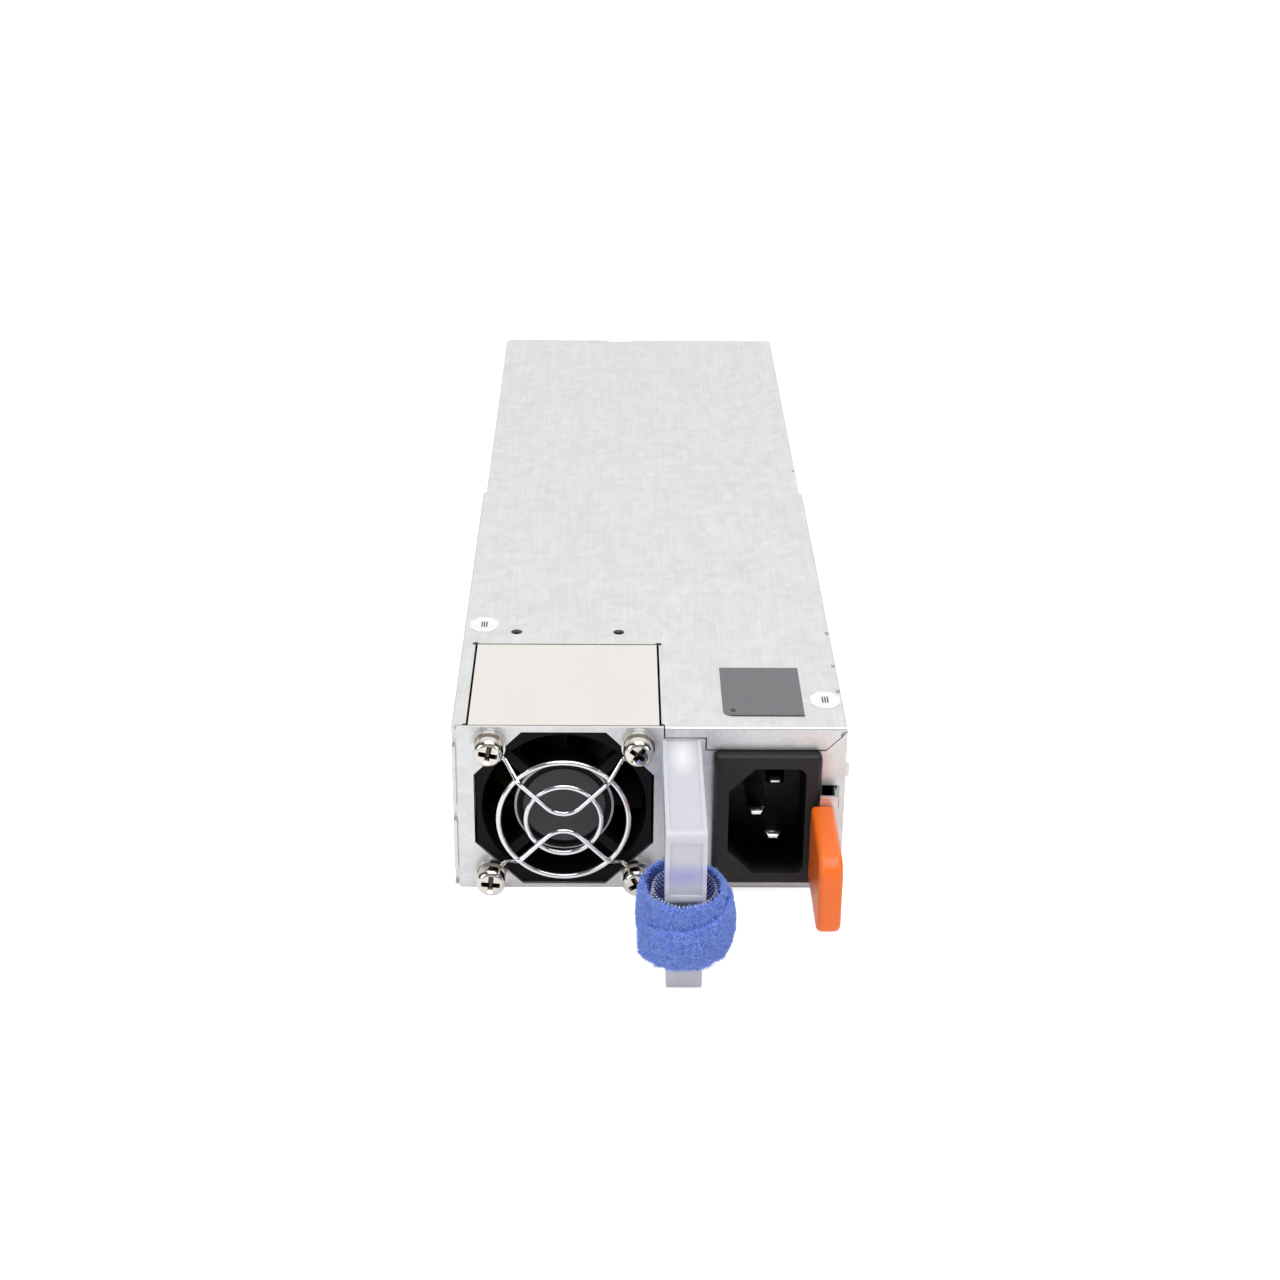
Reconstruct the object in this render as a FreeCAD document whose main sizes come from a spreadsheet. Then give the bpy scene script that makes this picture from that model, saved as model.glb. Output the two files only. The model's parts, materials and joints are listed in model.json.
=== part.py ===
import FreeCAD, Part
import math
import os
import re
import Sketcher
from FreeCAD import Placement, Rotation, Vector

# Hot swap server power supply.
# Frame: X to the right seen from the front, Y from the front to the rear, Z up.
# The origin lies in the middle of the housing's bottom face. Millimetres throughout.

os.makedirs("parts", exist_ok=True)
doc = FreeCAD.newDocument("ServerPowerSupply")
sheet = doc.addObject("Spreadsheet::Sheet", "Sizes")

# ---------------------------------------------------------------------------
# Driving sizes. Each one can be changed by itself.
# ---------------------------------------------------------------------------
SIZES = {
    # sheet metal housing
    "body_width": 85,
    "body_height": 40,
    "body_length": 265,
    "sheet_thickness": 0.8,
    "seam_gap": 0.3,
    "relief_radius": 0.75,
    "tuck_start": 135,
    "tuck_depth": 9,
    "skirt_lift": 1.0,
    "bend_radius": 0.6,
    "lip_height": 5.2,
    "lip_inset": 30.2,
    "lip_short": 1.5,
    "lip_mitre_end": 1.5,
    "panel_return": 7,
    "edge_slot_length": 1.4,
    "edge_slot_depth": 1.1,
    "side_notch_depth": 1.4,
    "side_notch_height": 3.6,
    "side_notch_margin": 1.2,
    "edge_slot_first": 16.9,
    "edge_slot_second": 29.4,
    "edge_slot_third": 46.8,
    "wall_notch_setback": 150.8,
    "top_hole_radius": 1.3,
    "top_hole_pitch": 23.7,
    "top_hole_setback": 6.9,
    "thumb_notch_radius": 11,
    "thumb_notch_depth": 1.4,
    "thumb_notch_offset": 6,
    "stop_bump_radius": 1.8,
    "stop_bump_height": 1.1,
    "stop_bump_setback": 15,
    "stop_bump_lift": 8,
    "cover_screw_radius": 1.25,
    "cover_screw_head": 2.4,
    "cover_screw_length": 3.2,
    "cover_cross_width": 0.66,
    "cover_cross_span": 2.75,
    "cover_screw_inset": 24,
    # rear panel
    "vent_width": 2.4,
    "vent_height": 12,
    "vent_pitch": 3.8,
    "vent_margin": 3.5,
    "vent_row_gap": 2.2,
    "edge_opening_height": 4,
    # fan
    "fan_size": 38,
    "fan_depth": 28,
    "fan_inset": 24.1,
    "fan_pitch": 32,
    "fan_bore_radius": 17.9,
    "fan_wall": 0.9,
    "fan_flange": 4,
    "fan_corner_radius": 2.2,
    "ring_radius": 10.3,
    "ring_thickness": 1.6,
    "ring_recess": 1.2,
    "ring_lip": 0.7,
    "strut_width": 2.2,
    "strut_depth": 3,
    "shaft_radius": 1.5,
    "running_gap": 0.05,
    "bearing_radius": 3,
    "bearing_width": 2.6,
    "bearing_tube_wall": 0.9,
    "bearing_tube_length": 14,
    "hub_radius": 10.4,
    "hub_wall": 0.9,
    "hub_depth": 17,
    "hub_clearance": 1.1,
    "magnet_thickness": 1.1,
    "magnet_length": 11,
    "stator_length": 9,
    "stator_slot": 2.4,
    "air_gap": 0.5,
    "blade_gap": 0.6,
    "blade_count": 7,
    "blade_thickness": 0.9,
    "blade_camber": 1.5,
    "blade_lean_root": 0.45,
    "blade_lean_tip": 0.7,
    "blade_chord": 13,
    "fan_board_thickness": 1.0,
    "label_radius": 8.9,
    "label_thickness": 0.15,
    "bracket_room": 0.7,
    "bracket_back": 40.9,
    "bracket_foot": 1.6,
    "window_gap": 0.5,
    "opening_side_room": 0.5,
    "opening_top_room": 0.2,
    "opening_cut": 10.4,
    "lead_radius": 1.1,
    "lead_reach": 14,
    "lead_spacing": 4,
    "connector_inset": 6,
    "connector_height": 5,
    # fan guard and its fasteners
    "wire_radius": 0.575,
    "guard_outer_ring": 14.0,
    "guard_inner_ring": 8.1,
    "guard_standoff": 5.2,
    "guard_rise": 4.16,
    "guard_weld": 0.15,
    "guard_apex_radius": 5.1,
    "guard_bend_radius": 1.6,
    "guard_foot": 2.2,
    "screw_radius": 1.7,
    "screw_fit": 0.15,
    "screw_bite": 0.05,
    "screw_head_radius": 3.1,
    "screw_head_height": 2.5,
    "screw_head_rounding": 0.9,
    "cross_width": 0.95,
    "cross_span": 3.6,
    "cross_depth": 1.1,
    "spring_washer_radius": 3.0,
    "spring_washer_height": 1.1,
    "flat_washer_radius": 3.6,
    "flat_washer_height": 0.7,
    # pull handle and strap
    "handle_inset": 35.6,
    "handle_width": 8.4,
    "handle_reach": 40,
    "handle_top": 37.2,
    "handle_leg": 6.4,
    "handle_grip": 7,
    "handle_step": 21.4,
    "handle_neck_inset": 1.4,
    "handle_foot_top": 8,
    "handle_foot_bottom": 0.7,
    "handle_foot_narrowing": 0.5,
    "handle_rounding": 1.2,
    "handle_foot_chamfer": 1.1,
    "tenon_inset": 1.2,
    "tenon_length": 3.4,
    "tenon_barb": 0.8,
    "tenon_fit": 0.1,
    "strap_outer_width": 20.5,
    "strap_outer_depth": 22,
    "strap_wall": 3.7,
    "strap_width": 13.6,
    "strap_forward": 36.5,
    "strap_rounding": 3,
    "soft_clearance": 0.2,
    # latch
    "latch_thickness": 0.6,
    "latch_strip_height": 4.6,
    "latch_strip_bottom": 20.9,
    "latch_pivot": 66,
    "latch_rivet_setback": 4,
    "latch_rivet_pitch": 8,
    "latch_pad_length": 8,
    "latch_pad_margin": 2,
    "latch_wall_gap": 0.25,
    "latch_slot_room": 0.6,
    "latch_swing": 2.6,
    "latch_jog_start": 3.5,
    "rivet_radius": 1.2,
    "rivet_head_radius": 2.1,
    "rivet_head_height": 0.7,
    "rivet_play": 0.35,
    "tooth_start": 10,
    "tooth_length": 8,
    "tooth_height": 2.9,
    "tooth_reach": 1.9,
    "tab_thickness": 4.6,
    "tab_inset": 3.1,
    "tab_start": 4.3,
    "tab_reach": 29,
    "tab_bottom": 4,
    "tab_top": 22.8,
    "tab_rounding": 4.5,
    "tab_edge": 1.0,
    "tongue_height": 11,
    "tongue_margin": 4,
    # appliance inlet
    "inlet_inset": 17,
    "inlet_width": 23.3,
    "inlet_height": 31.8,
    "inlet_bottom": 2.8,
    "inlet_flange": 3,
    "inlet_corner": 1.2,
    "inlet_body_inset": 1.5,
    "inlet_body_depth": 17,
    "inlet_fit": 0.15,
    "cavity_width": 16.6,
    "cavity_height": 25.8,
    "cavity_depth": 16,
    "cavity_chamfer": 5.6,
    "cavity_rounding": 2,
    "pin_pitch": 14,
    "pin_thickness": 2,
    "pin_width": 4,
    "pin_recess": 3.2,
    "earth_recess": 1.4,
    "earth_setback": 4,
    "line_pin_shift": 2.0,
    "pin_tail": 3,
    "pin_chamfer": 0.4,
    "inlet_board_thickness": 1.6,
    # labels on the top
    "sticker_thickness": 0.15,
    "sticker_width": 17.6,
    "sticker_length": 23.4,
    "sticker_inset": 17.7,
    "sticker_front": 5.6,
    "sticker_corner": 2.4,
    "dot_radius": 3.15,
    "left_dot_inset": 4.6,
    "left_dot_setback": 51.5,
    "right_dot_inset": 3.9,
    "right_dot_setback": 13.2,
    # main board and what it carries
    "board_thickness": 1.6,
    "board_bottom": 5.2,
    "board_side_room": 1.6,
    "board_front": 46,
    "board_wing_front": 25,
    "board_rear_room": 2,
    "edge_width": 50,
    "edge_reach": 8,
    "edge_room": 1,
    "finger_width": 2,
    "finger_pitch": 3,
    "finger_length": 7,
    "finger_thickness": 0.1,
    "finger_margin": 2,
    "film_thickness": 0.3,
    "film_room": 1,
    "standoff_radius": 2.6,
    "board_screw_radius": 1.4,
    "board_screw_head": 2.5,
    "board_screw_length": 3.6,
    "standoff_inset": 8,
    "lead_wire_radius": 0.9,
    "bulk_radius": 12.4,
    "bulk_length": 42,
    "bulk_lift": 0.6,
    "bulk_inset": 17,
    "bulk_start": 69,
    "bulk_gap": 3,
    "bulk_rim": 2,
    "choke_inset": 17.5,
    "fuse_inset": 24.5,
    "relay_inset": 34.5,
    "film_cap_inset": 25.5,
    "transformer_inset": 22.5,
    "choke_radius": 11,
    "choke_bore": 5,
    "choke_height": 13,
    "choke_start": 70,
    "choke_base": 2,
    "coil_radius": 0.9,
    "coil_turns": 14,
    "emi_width": 18,
    "emi_inset": 19.9,
    "emi_length": 20,
    "emi_height": 18,
    "emi_limb": 5.4,
    "film_cap_width": 9,
    "film_cap_length": 14,
    "film_cap_height": 16,
    "disc_cap_radius": 4.5,
    "disc_cap_thickness": 3,
    "fuse_radius": 2.6,
    "fuse_glass_radius": 2.2,
    "fuse_clip_width": 1,
    "fuse_length": 20,
    "relay_width": 10,
    "relay_length": 19,
    "relay_height": 15,
    "transformer_width": 34,
    "transformer_length": 36,
    "transformer_height": 27,
    "transformer_setback": 103,
    "core_leg": 7,
    "core_back": 6,
    "winding_rounding": 4.2,
    "winding_gap": 0.3,
    "inductor_size": 20,
    "inductor_limb": 4,
    "inductor_window": 4.4,
    "inductor_window_bottom": 6,
    "inductor_window_height": 9,
    "sink_thickness": 2,
    "sink_height": 27,
    "sink_length": 62,
    "sink_fin_reach": 8,
    "sink_fin_pitch": 6,
    "sink_fin_thickness": 1.2,
    "primary_sink_start": 79,
    "secondary_sink_setback": 68,
    "package_width": 15.6,
    "package_height": 20,
    "package_thickness": 4.8,
    "package_pitch": 18.5,
    "pad_thickness": 0.4,
    "output_cap_radius": 5,
    "output_cap_height": 21,
    "output_cap_pitch": 11,
    "card_thickness": 1.2,
    "card_height": 24,
    "card_length": 60,
    "chip_size": 7,
    "chip_height": 1.4,
    "led_radius": 1.5,
    "led_spacer_radius": 1.9,
}

for row, (alias, number) in enumerate(SIZES.items(), start=1):
    sheet.set(f"A{row}", alias)
    sheet.set(f"B{row}", str(number))
    sheet.setAlias(f"B{row}", alias)
doc.recompute()

# ---------------------------------------------------------------------------
# Formulas shared by several pieces
# ---------------------------------------------------------------------------
FRONT = "(-body_length/2)"
BACK = "(body_length/2)"
PANEL_BACK = "(sheet_thickness - body_length/2)"
HALF = "(body_width/2)"
TRAY_OUT = "(body_width/2 - sheet_thickness)"
TRAY_IN = "(body_width/2 - 2*sheet_thickness)"
ROOF = "(body_height - sheet_thickness)"
STEP = "(tuck_start - body_length/2)"
FAN_X = "(fan_inset - body_width/2)"
FAN_Z = "(body_height/2)"
BRACKET_HALF = "(fan_size/2 + bracket_room + sheet_thickness)"
WINDOW_HALF = "(fan_size/2 + bracket_room + sheet_thickness + window_gap)"
WINDOW_LEFT = f"({FAN_X} - {WINDOW_HALF})"
WINDOW_RIGHT = f"({FAN_X} + {WINDOW_HALF})"
BOARD_TOP = "(board_bottom + board_thickness)"
INLET_X = "(body_width/2 - inlet_inset)"
INLET_LEFT = f"({INLET_X} - inlet_width/2)"
INLET_RIGHT = f"({INLET_X} + inlet_width/2)"
INLET_Z = "(inlet_bottom + inlet_height/2)"
HANDLE_X = "(body_width/2 - handle_inset)"
HANDLE_LEFT = f"({HANDLE_X} - handle_width/2)"
HANDLE_RIGHT = f"({HANDLE_X} + handle_width/2)"
LIP_LEFT = "(body_width/2 - lip_inset)"
LATCH_OUT = "(body_width/2 - 2*sheet_thickness - latch_wall_gap)"
LATCH_IN = "(body_width/2 - 2*sheet_thickness - latch_wall_gap - latch_thickness)"
LATCH_TOP = "(latch_strip_bottom + latch_strip_height)"
LATCH_Z = "(latch_strip_bottom + latch_strip_height/2)"
TAB_RIGHT = "(body_width/2 - tab_inset)"
TAB_MIDDLE = "(body_width/2 - tab_inset - tab_thickness/2)"
SIDE_NOTCHES = ("side_notch_margin", "(body_height - side_notch_height)/2 - side_notch_margin",
                "body_height - side_notch_height - side_notch_margin")
EDGE_SLOTS = ("edge_slot_first", "edge_slot_second", "edge_slot_third")


def linked(formula):
    """The formula with each size's name pointing at its cell in the sheet."""
    return re.sub(r"[a-z][a-z_]+[a-z]", lambda word: f"Sizes.{word[0]}" if word[0] in SIZES else word[0],
                  str(formula))


def value(formula):
    """The number that a formula comes to, in millimetres."""
    return float(sheet.evalExpression(linked(formula)))


def behind(depth):
    """A Y position, given as a depth behind the front face."""
    return f"(-body_length/2 + {depth})"


def bind(item, **formulas):
    """Tie properties to formulas. x, y and z are the item's own placement."""
    places = {"x": "Placement.Base.x", "y": "Placement.Base.y", "z": "Placement.Base.z"}
    for name, formula in formulas.items():
        item.setExpression(places.get(name, name), linked(formula))
    return item


# ---------------------------------------------------------------------------
# Sketches and features
# ---------------------------------------------------------------------------
def new_body(label, x="0", y="0", z="0"):
    body = doc.addObject("PartDesign::Body", "".join(word.title() for word in label.split("_")))
    body.Label = label
    return bind(body, x=x, y=y, z=z)


def origin_item(body, role):
    """One of the body's own origin planes or axes."""
    return next(item for item in body.Origin.OriginFeatures if item.Role == role)


def box(x0, y0, x1, y1):
    """The corners of a rectangle, anticlockwise."""
    return [(x0, y0), (x1, y0), (x1, y1), (x0, y1)]


def disc(x, y, radius):
    return ("circle", x, y, radius)


def fix_point(sketch, edge, end, point, x, y):
    """Pin one end of an edge to the two formulas x and y."""
    for kind, number, formula in (("DistanceX", point.x, x), ("DistanceY", point.y, y)):
        index = sketch.addConstraint(Sketcher.Constraint(kind, -1, 1, edge, end, number))
        sketch.setExpression(f"Constraints[{index}]", linked(formula))


def draw_circle(sketch, x, y, radius):
    centre = Vector(value(x), value(y), 0)
    edge = sketch.addGeometry(Part.Circle(centre, Vector(0, 0, 1), value(radius)))
    fix_point(sketch, edge, 3, centre, x, y)
    index = sketch.addConstraint(Sketcher.Constraint("Radius", edge, value(radius)))
    sketch.setExpression(f"Constraints[{index}]", linked(radius))


def draw_polygon(sketch, corners):
    points = [Vector(value(x), value(y), 0) for x, y in corners]
    edges = []
    for index, point in enumerate(points):
        following = points[(index + 1) % len(points)]
        edges.append(sketch.addGeometry(Part.LineSegment(point, following)))
    for index, edge in enumerate(edges):
        sketch.addConstraint(Sketcher.Constraint("Coincident", edge, 2, edges[(index + 1) % len(edges)], 1))
    for edge, point, (x, y) in zip(edges, points, corners):
        fix_point(sketch, edge, 1, point, x, y)


PLANE_NORMAL = {"XY_Plane": 1, "XZ_Plane": -1, "YZ_Plane": 1}


def draw(body, plane, offset, *outlines):
    """A sketch on one of the body's planes, moved along the frame's axis by offset."""
    sketch = body.newObject("Sketcher::SketchObject", f"{body.Name}Sketch")
    sketch.AttachmentSupport = [(origin_item(body, plane), "")]
    sketch.MapMode = "FlatFace"
    sign = "" if PLANE_NORMAL[plane] > 0 else "-"
    sketch.setExpression("AttachmentOffset.Base.z", linked(f"{sign}({offset})"))
    for outline in outlines:
        if outline[0] == "circle":
            draw_circle(sketch, *outline[1:])
        else:
            draw_polygon(sketch, outline)
    sketch.recompute()
    return sketch


def settle(body, feature):
    """Bring a new feature and its body up to date."""
    feature.recompute()
    body.recompute()
    return feature


def add(body, plane, start, end, *outlines):
    """Pad the outlines from start to end along the plane's axis."""
    feature = body.newObject("PartDesign::Pad", f"{body.Name}Pad")
    feature.Profile = draw(body, plane, start, *outlines)
    feature.Reversed = PLANE_NORMAL[plane] < 0
    feature.setExpression("Length", linked(f"({end}) - ({start})"))
    return settle(body, feature)


def cut(body, plane, start, end, *outlines):
    """Pocket the outlines from start to end, and make sure that material went."""
    before = body.Shape.Volume
    feature = body.newObject("PartDesign::Pocket", f"{body.Name}Pocket")
    feature.Profile = draw(body, plane, start, *outlines)
    feature.Reversed = PLANE_NORMAL[plane] > 0
    feature.setExpression("Length", linked(f"({end}) - ({start})"))
    settle(body, feature)
    assert body.Shape.Volume < before - 1e-6, f"{body.Label}: a pocket cuts nothing"
    return feature


def near(number, formula):
    return abs(number - value(formula)) < 0.01


def dress(body, kind, size, wanted):
    """Fillet or chamfer the edges that wanted picks by centre and, if straight, direction."""
    base = body.Tip
    names = []
    for index, edge in enumerate(base.Shape.Edges, start=1):
        direction = None
        chord = edge.Vertexes[-1].Point - edge.Vertexes[0].Point
        if 1e-6 < chord.Length > edge.Length - 1e-6:
            direction = chord.normalize()
        if wanted(edge.CenterOfMass, direction):
            names.append(f"Edge{index}")
    assert names, f"{body.Label}: no edge to round"
    feature = body.newObject(f"PartDesign::{kind}", f"{body.Name}{kind}")
    feature.Base = (base, names)
    feature.setExpression("Radius" if kind == "Fillet" else "Size", linked(size))
    return settle(body, feature)


def along(direction, axis):
    """True if a straight edge's direction lies along the axis named by its letter."""
    return direction is not None and abs(abs(getattr(direction, axis)) - 1) < 1e-6


def pattern(body, originals, axis, pitch, count, second_axis=None, second_pitch=None, second_count=1):
    """Repeat features in a row, or in rows and columns, along the body's own axes."""
    feature = body.newObject("PartDesign::LinearPattern", f"{body.Name}Pattern")
    feature.Originals = originals
    feature.Direction = (origin_item(body, axis), [""])
    feature.setExpression("Length", linked(f"({pitch})*{count - 1}"))
    feature.Occurrences = count
    if second_axis:
        feature.Direction2 = (origin_item(body, second_axis), [""])
        feature.setExpression("Length2", linked(f"({second_pitch})*{second_count - 1}"))
        feature.Occurrences2 = second_count
    body.Tip = feature
    return settle(body, feature)


def around(body, originals, axis, count):
    feature = body.newObject("PartDesign::PolarPattern", f"{body.Name}Polar")
    feature.Originals = originals
    feature.Axis = (origin_item(body, axis), [""])
    feature.Angle = 360
    feature.Occurrences = count
    body.Tip = feature
    return settle(body, feature)


PIECES = []


def keep(piece):
    PIECES.append(piece)
    return piece


# ---------------------------------------------------------------------------
# Places that several pieces share
# ---------------------------------------------------------------------------
SIDES = ("-", "")
FAN_CORNERS = [(f"{FAN_X} {sx} fan_pitch/2", f"{FAN_Z} {sz} fan_pitch/2") for sx in "-+" for sz in "-+"]
COVER_SCREWS = (behind("cover_screw_inset + latch_pivot"), behind("tuck_start - cover_screw_inset/2"))
STANDOFFS = [(f"{side}(body_width/2 - standoff_inset)", y) for side in SIDES
             for y in (behind("board_front + standoff_inset"), "standoff_inset", "body_length/2 - standoff_inset")]
LATCH_RIVETS = [f"{LATCH_Z} - latch_rivet_pitch/2", f"{LATCH_Z} + latch_rivet_pitch/2"]
RIVET_Y = behind("latch_pivot - latch_rivet_setback")
TOOTH_SLOT = box(behind("tooth_start - latch_slot_room"), "latch_strip_bottom - latch_slot_room",
                 behind("tooth_start + tooth_length + latch_slot_room"), f"{LATCH_TOP} + latch_slot_room")
LATCH_SLOT = box(f"{LATCH_IN} - latch_swing", "latch_strip_bottom - latch_slot_room",
                 f"{LATCH_OUT} + latch_slot_room", f"{LATCH_TOP} + latch_slot_room")
HANDLE_TENONS = [("handle_foot_bottom + tenon_inset", "handle_foot_top - tenon_inset"),
                 ("handle_top - handle_leg + tenon_inset", "handle_top - tenon_inset")]
VENT_BOTTOM = f"{BOARD_TOP} + edge_opening_height"


# ---------------------------------------------------------------------------
# Housing
# ---------------------------------------------------------------------------
def make_base_tray():
    """Floor and two side walls, folded from one sheet. Behind the tuck the walls stand full height."""
    body = new_body("base_tray")
    back = "body_length/2 - sheet_thickness"
    add(body, "XY_Plane", "0", "sheet_thickness", box(f"-{TRAY_OUT}", PANEL_BACK, TRAY_OUT, back))
    side = [(PANEL_BACK, "0"), (back, "0"), (back, "body_height"), (STEP, "body_height"), (STEP, ROOF),
            (PANEL_BACK, ROOF)]
    add(body, "YZ_Plane", f"-{TRAY_OUT}", f"-{TRAY_IN}", side)
    add(body, "YZ_Plane", TRAY_IN, TRAY_OUT, side)
    cut(body, "YZ_Plane", TRAY_IN, TRAY_OUT, TOOTH_SLOT)
    cut(body, "YZ_Plane", TRAY_IN, TRAY_OUT,
        box(behind("wall_notch_setback"), "body_height - edge_slot_depth",
            behind("wall_notch_setback + edge_slot_length"), "body_height"))
    for z in LATCH_RIVETS:
        cut(body, "YZ_Plane", TRAY_IN, TRAY_OUT, disc(RIVET_Y, z, "rivet_radius"))
    for y in COVER_SCREWS:
        cut(body, "YZ_Plane", f"-{TRAY_OUT}", TRAY_OUT, disc(y, FAN_Z, "cover_screw_radius"))
    for x, y in STANDOFFS:
        cut(body, "XY_Plane", "0", "sheet_thickness", disc(x, y, "board_screw_radius"))
    dress(body, "Fillet", "bend_radius", lambda at, way: along(way, "y") and near(at.z, "0"))
    return keep(body)


def lip_outline(gap, top):
    """The cover's front lip. With a gap it is the hole that the lip leaves in the front panel."""
    bottom = f"body_height - lip_height - {gap}"
    short = f"{ROOF} - lip_short - {gap}"
    right = f"{TRAY_OUT} + {gap}"
    mitre_top = "body_height - lip_mitre_end"
    left = f"{WINDOW_RIGHT} + relief_radius - {gap}"
    return [(left, short), (f"{LIP_LEFT} - {gap}", short), (f"{LIP_LEFT} - {gap}", bottom),
            (f"{right} - (lip_height - lip_mitre_end + {gap})", bottom), (right, mitre_top), (right, top),
            (left, top)]


def make_top_cover():
    """Roof with a window over the fan, outer skirts in front of the tuck and tucked ones behind it."""
    body = new_body("top_cover")
    front_left = f"{PANEL_BACK} + seam_gap"
    split = f"{WINDOW_RIGHT} + relief_radius"
    roof = [(f"-{HALF}", FRONT), (f"-{TRAY_OUT}", FRONT), (f"-{TRAY_OUT}", front_left), (split, front_left),
            (split, FRONT), (HALF, FRONT), (HALF, STEP), (TRAY_IN, STEP), (TRAY_IN, BACK),
            (f"-{TRAY_IN}", BACK), (f"-{TRAY_IN}", STEP), (f"-{HALF}", STEP)]
    add(body, "XY_Plane", ROOF, "body_height", roof)
    add(body, "XZ_Plane", FRONT, PANEL_BACK, lip_outline("0", ROOF))
    add(body, "XZ_Plane", FRONT, STEP, box(f"-{HALF}", "skirt_lift", f"-{TRAY_OUT}", ROOF))
    add(body, "XZ_Plane", PANEL_BACK, STEP, box(TRAY_OUT, "skirt_lift", HALF, ROOF))
    for inner in (f"-{TRAY_IN}", f"{TRAY_IN} - sheet_thickness"):
        add(body, "XZ_Plane", f"{STEP} + seam_gap", "body_length/2 - 2*sheet_thickness",
            box(inner, "body_height - tuck_depth", f"{inner} + sheet_thickness", ROOF))
    window_back = behind("bracket_back + window_gap")
    cut(body, "XY_Plane", ROOF, "body_height", box(WINDOW_LEFT, FRONT, WINDOW_RIGHT, window_back))
    for x, y in ((WINDOW_LEFT, window_back), (WINDOW_RIGHT, window_back), (WINDOW_RIGHT, front_left),
                 (WINDOW_LEFT, front_left)):
        cut(body, "XY_Plane", ROOF, "body_height", disc(x, y, "relief_radius"))
    for shift in ("- top_hole_pitch/2", "+ top_hole_pitch/2"):
        cut(body, "XY_Plane", ROOF, "body_height",
            disc(f"{FAN_X} {shift}", behind("bracket_back + top_hole_setback"), "top_hole_radius"))
    for depth in EDGE_SLOTS:
        cut(body, "XY_Plane", "body_height - edge_slot_depth", "body_height",
            box("body_width/2 - edge_slot_depth", behind(depth), "body_width/2",
                behind(f"{depth} + edge_slot_length")))
    cut(body, "XZ_Plane", FRONT, PANEL_BACK, disc(TRAY_OUT, "body_height - lip_mitre_end", "relief_radius"))
    for bottom in SIDE_NOTCHES:
        cut(body, "YZ_Plane", f"-{HALF}", f"-{TRAY_OUT}",
            box(FRONT, bottom, behind("side_notch_depth"), f"{bottom} + side_notch_height"))
    cut(body, "YZ_Plane", TRAY_OUT, HALF, TOOTH_SLOT)
    add(body, "YZ_Plane", HALF, "body_width/2 + stop_bump_height",
        disc(behind("stop_bump_setback"), "stop_bump_lift", "stop_bump_radius"))
    for y in COVER_SCREWS:
        cut(body, "YZ_Plane", f"-{HALF}", HALF, disc(y, FAN_Z, "cover_screw_head"))
    cut(body, "XY_Plane", ROOF, "body_height",
        disc("-thumb_notch_offset", "body_length/2 + thumb_notch_radius - thumb_notch_depth",
             "thumb_notch_radius"))
    dress(body, "Fillet", "bend_radius", lambda at, way: near(at.z, "body_height") and (
        (along(way, "x") and near(at.y, FRONT) and at.x > value(split))
        or (along(way, "y") and near(abs(at.x), HALF))))
    return keep(body)


def make_front_panel():
    """Front plate between the side walls, with openings for the fan, handle, inlet and latch."""
    body = new_body("front_panel")
    add(body, "XZ_Plane", FRONT, PANEL_BACK, box(f"-{TRAY_OUT} + seam_gap", "0", HALF, "body_height"))
    cut(body, "XZ_Plane", FRONT, PANEL_BACK, lip_outline("seam_gap", "body_height"))
    cut(body, "XZ_Plane", FRONT, PANEL_BACK, box(TRAY_OUT, f"{ROOF} - seam_gap", HALF, "body_height"))
    # returns folded back along the left wall and over the floor
    add(body, "XZ_Plane", PANEL_BACK, f"{PANEL_BACK} + panel_return",
        box(f"-{TRAY_IN}", "2*sheet_thickness", f"-{TRAY_IN} + sheet_thickness", f"{ROOF} - sheet_thickness"))
    add(body, "XZ_Plane", PANEL_BACK, f"{PANEL_BACK} + panel_return",
        box(WINDOW_RIGHT, "sheet_thickness", INLET_LEFT, "2*sheet_thickness"))
    wide = "(fan_size/2 + opening_side_room)"
    high = "(fan_size/2 - opening_top_room)"
    corners = ((1, -1, 1, 0), (1, -1, 0, 1), (1, 1, 0, 1), (1, 1, 1, 0),
               (-1, 1, 1, 0), (-1, 1, 0, 1), (-1, -1, 0, 1), (-1, -1, 1, 0))
    octagon = [(f"{FAN_X} + ({wide} - opening_cut*{cx})*{sx}", f"{FAN_Z} + ({high} - opening_cut*{cz})*{sz}")
               for sx, sz, cx, cz in corners]
    cut(body, "XZ_Plane", FRONT, PANEL_BACK, octagon)
    cut(body, "XZ_Plane", FRONT, PANEL_BACK, *[disc(x, z, "screw_radius + screw_fit") for x, z in FAN_CORNERS])
    cut(body, "XZ_Plane", FRONT, PANEL_BACK,
        box(f"{INLET_LEFT} + inlet_body_inset - inlet_fit", "inlet_bottom + inlet_body_inset - inlet_fit",
            f"{INLET_RIGHT} - inlet_body_inset + inlet_fit",
            "inlet_bottom + inlet_height - inlet_body_inset + inlet_fit"))
    for low, high_end in HANDLE_TENONS:
        cut(body, "XZ_Plane", FRONT, PANEL_BACK,
            box(f"{HANDLE_LEFT} + tenon_inset - tenon_fit", f"{low} - tenon_fit",
                f"{HANDLE_RIGHT} - tenon_inset + tenon_fit", f"{high_end} + tenon_fit"))
    cut(body, "XZ_Plane", FRONT, PANEL_BACK, LATCH_SLOT)
    dress(body, "Fillet", "bend_radius", lambda at, way: along(way, "x") and near(at.y, FRONT)
          and near(at.z, "0"))
    return keep(body)


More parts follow.
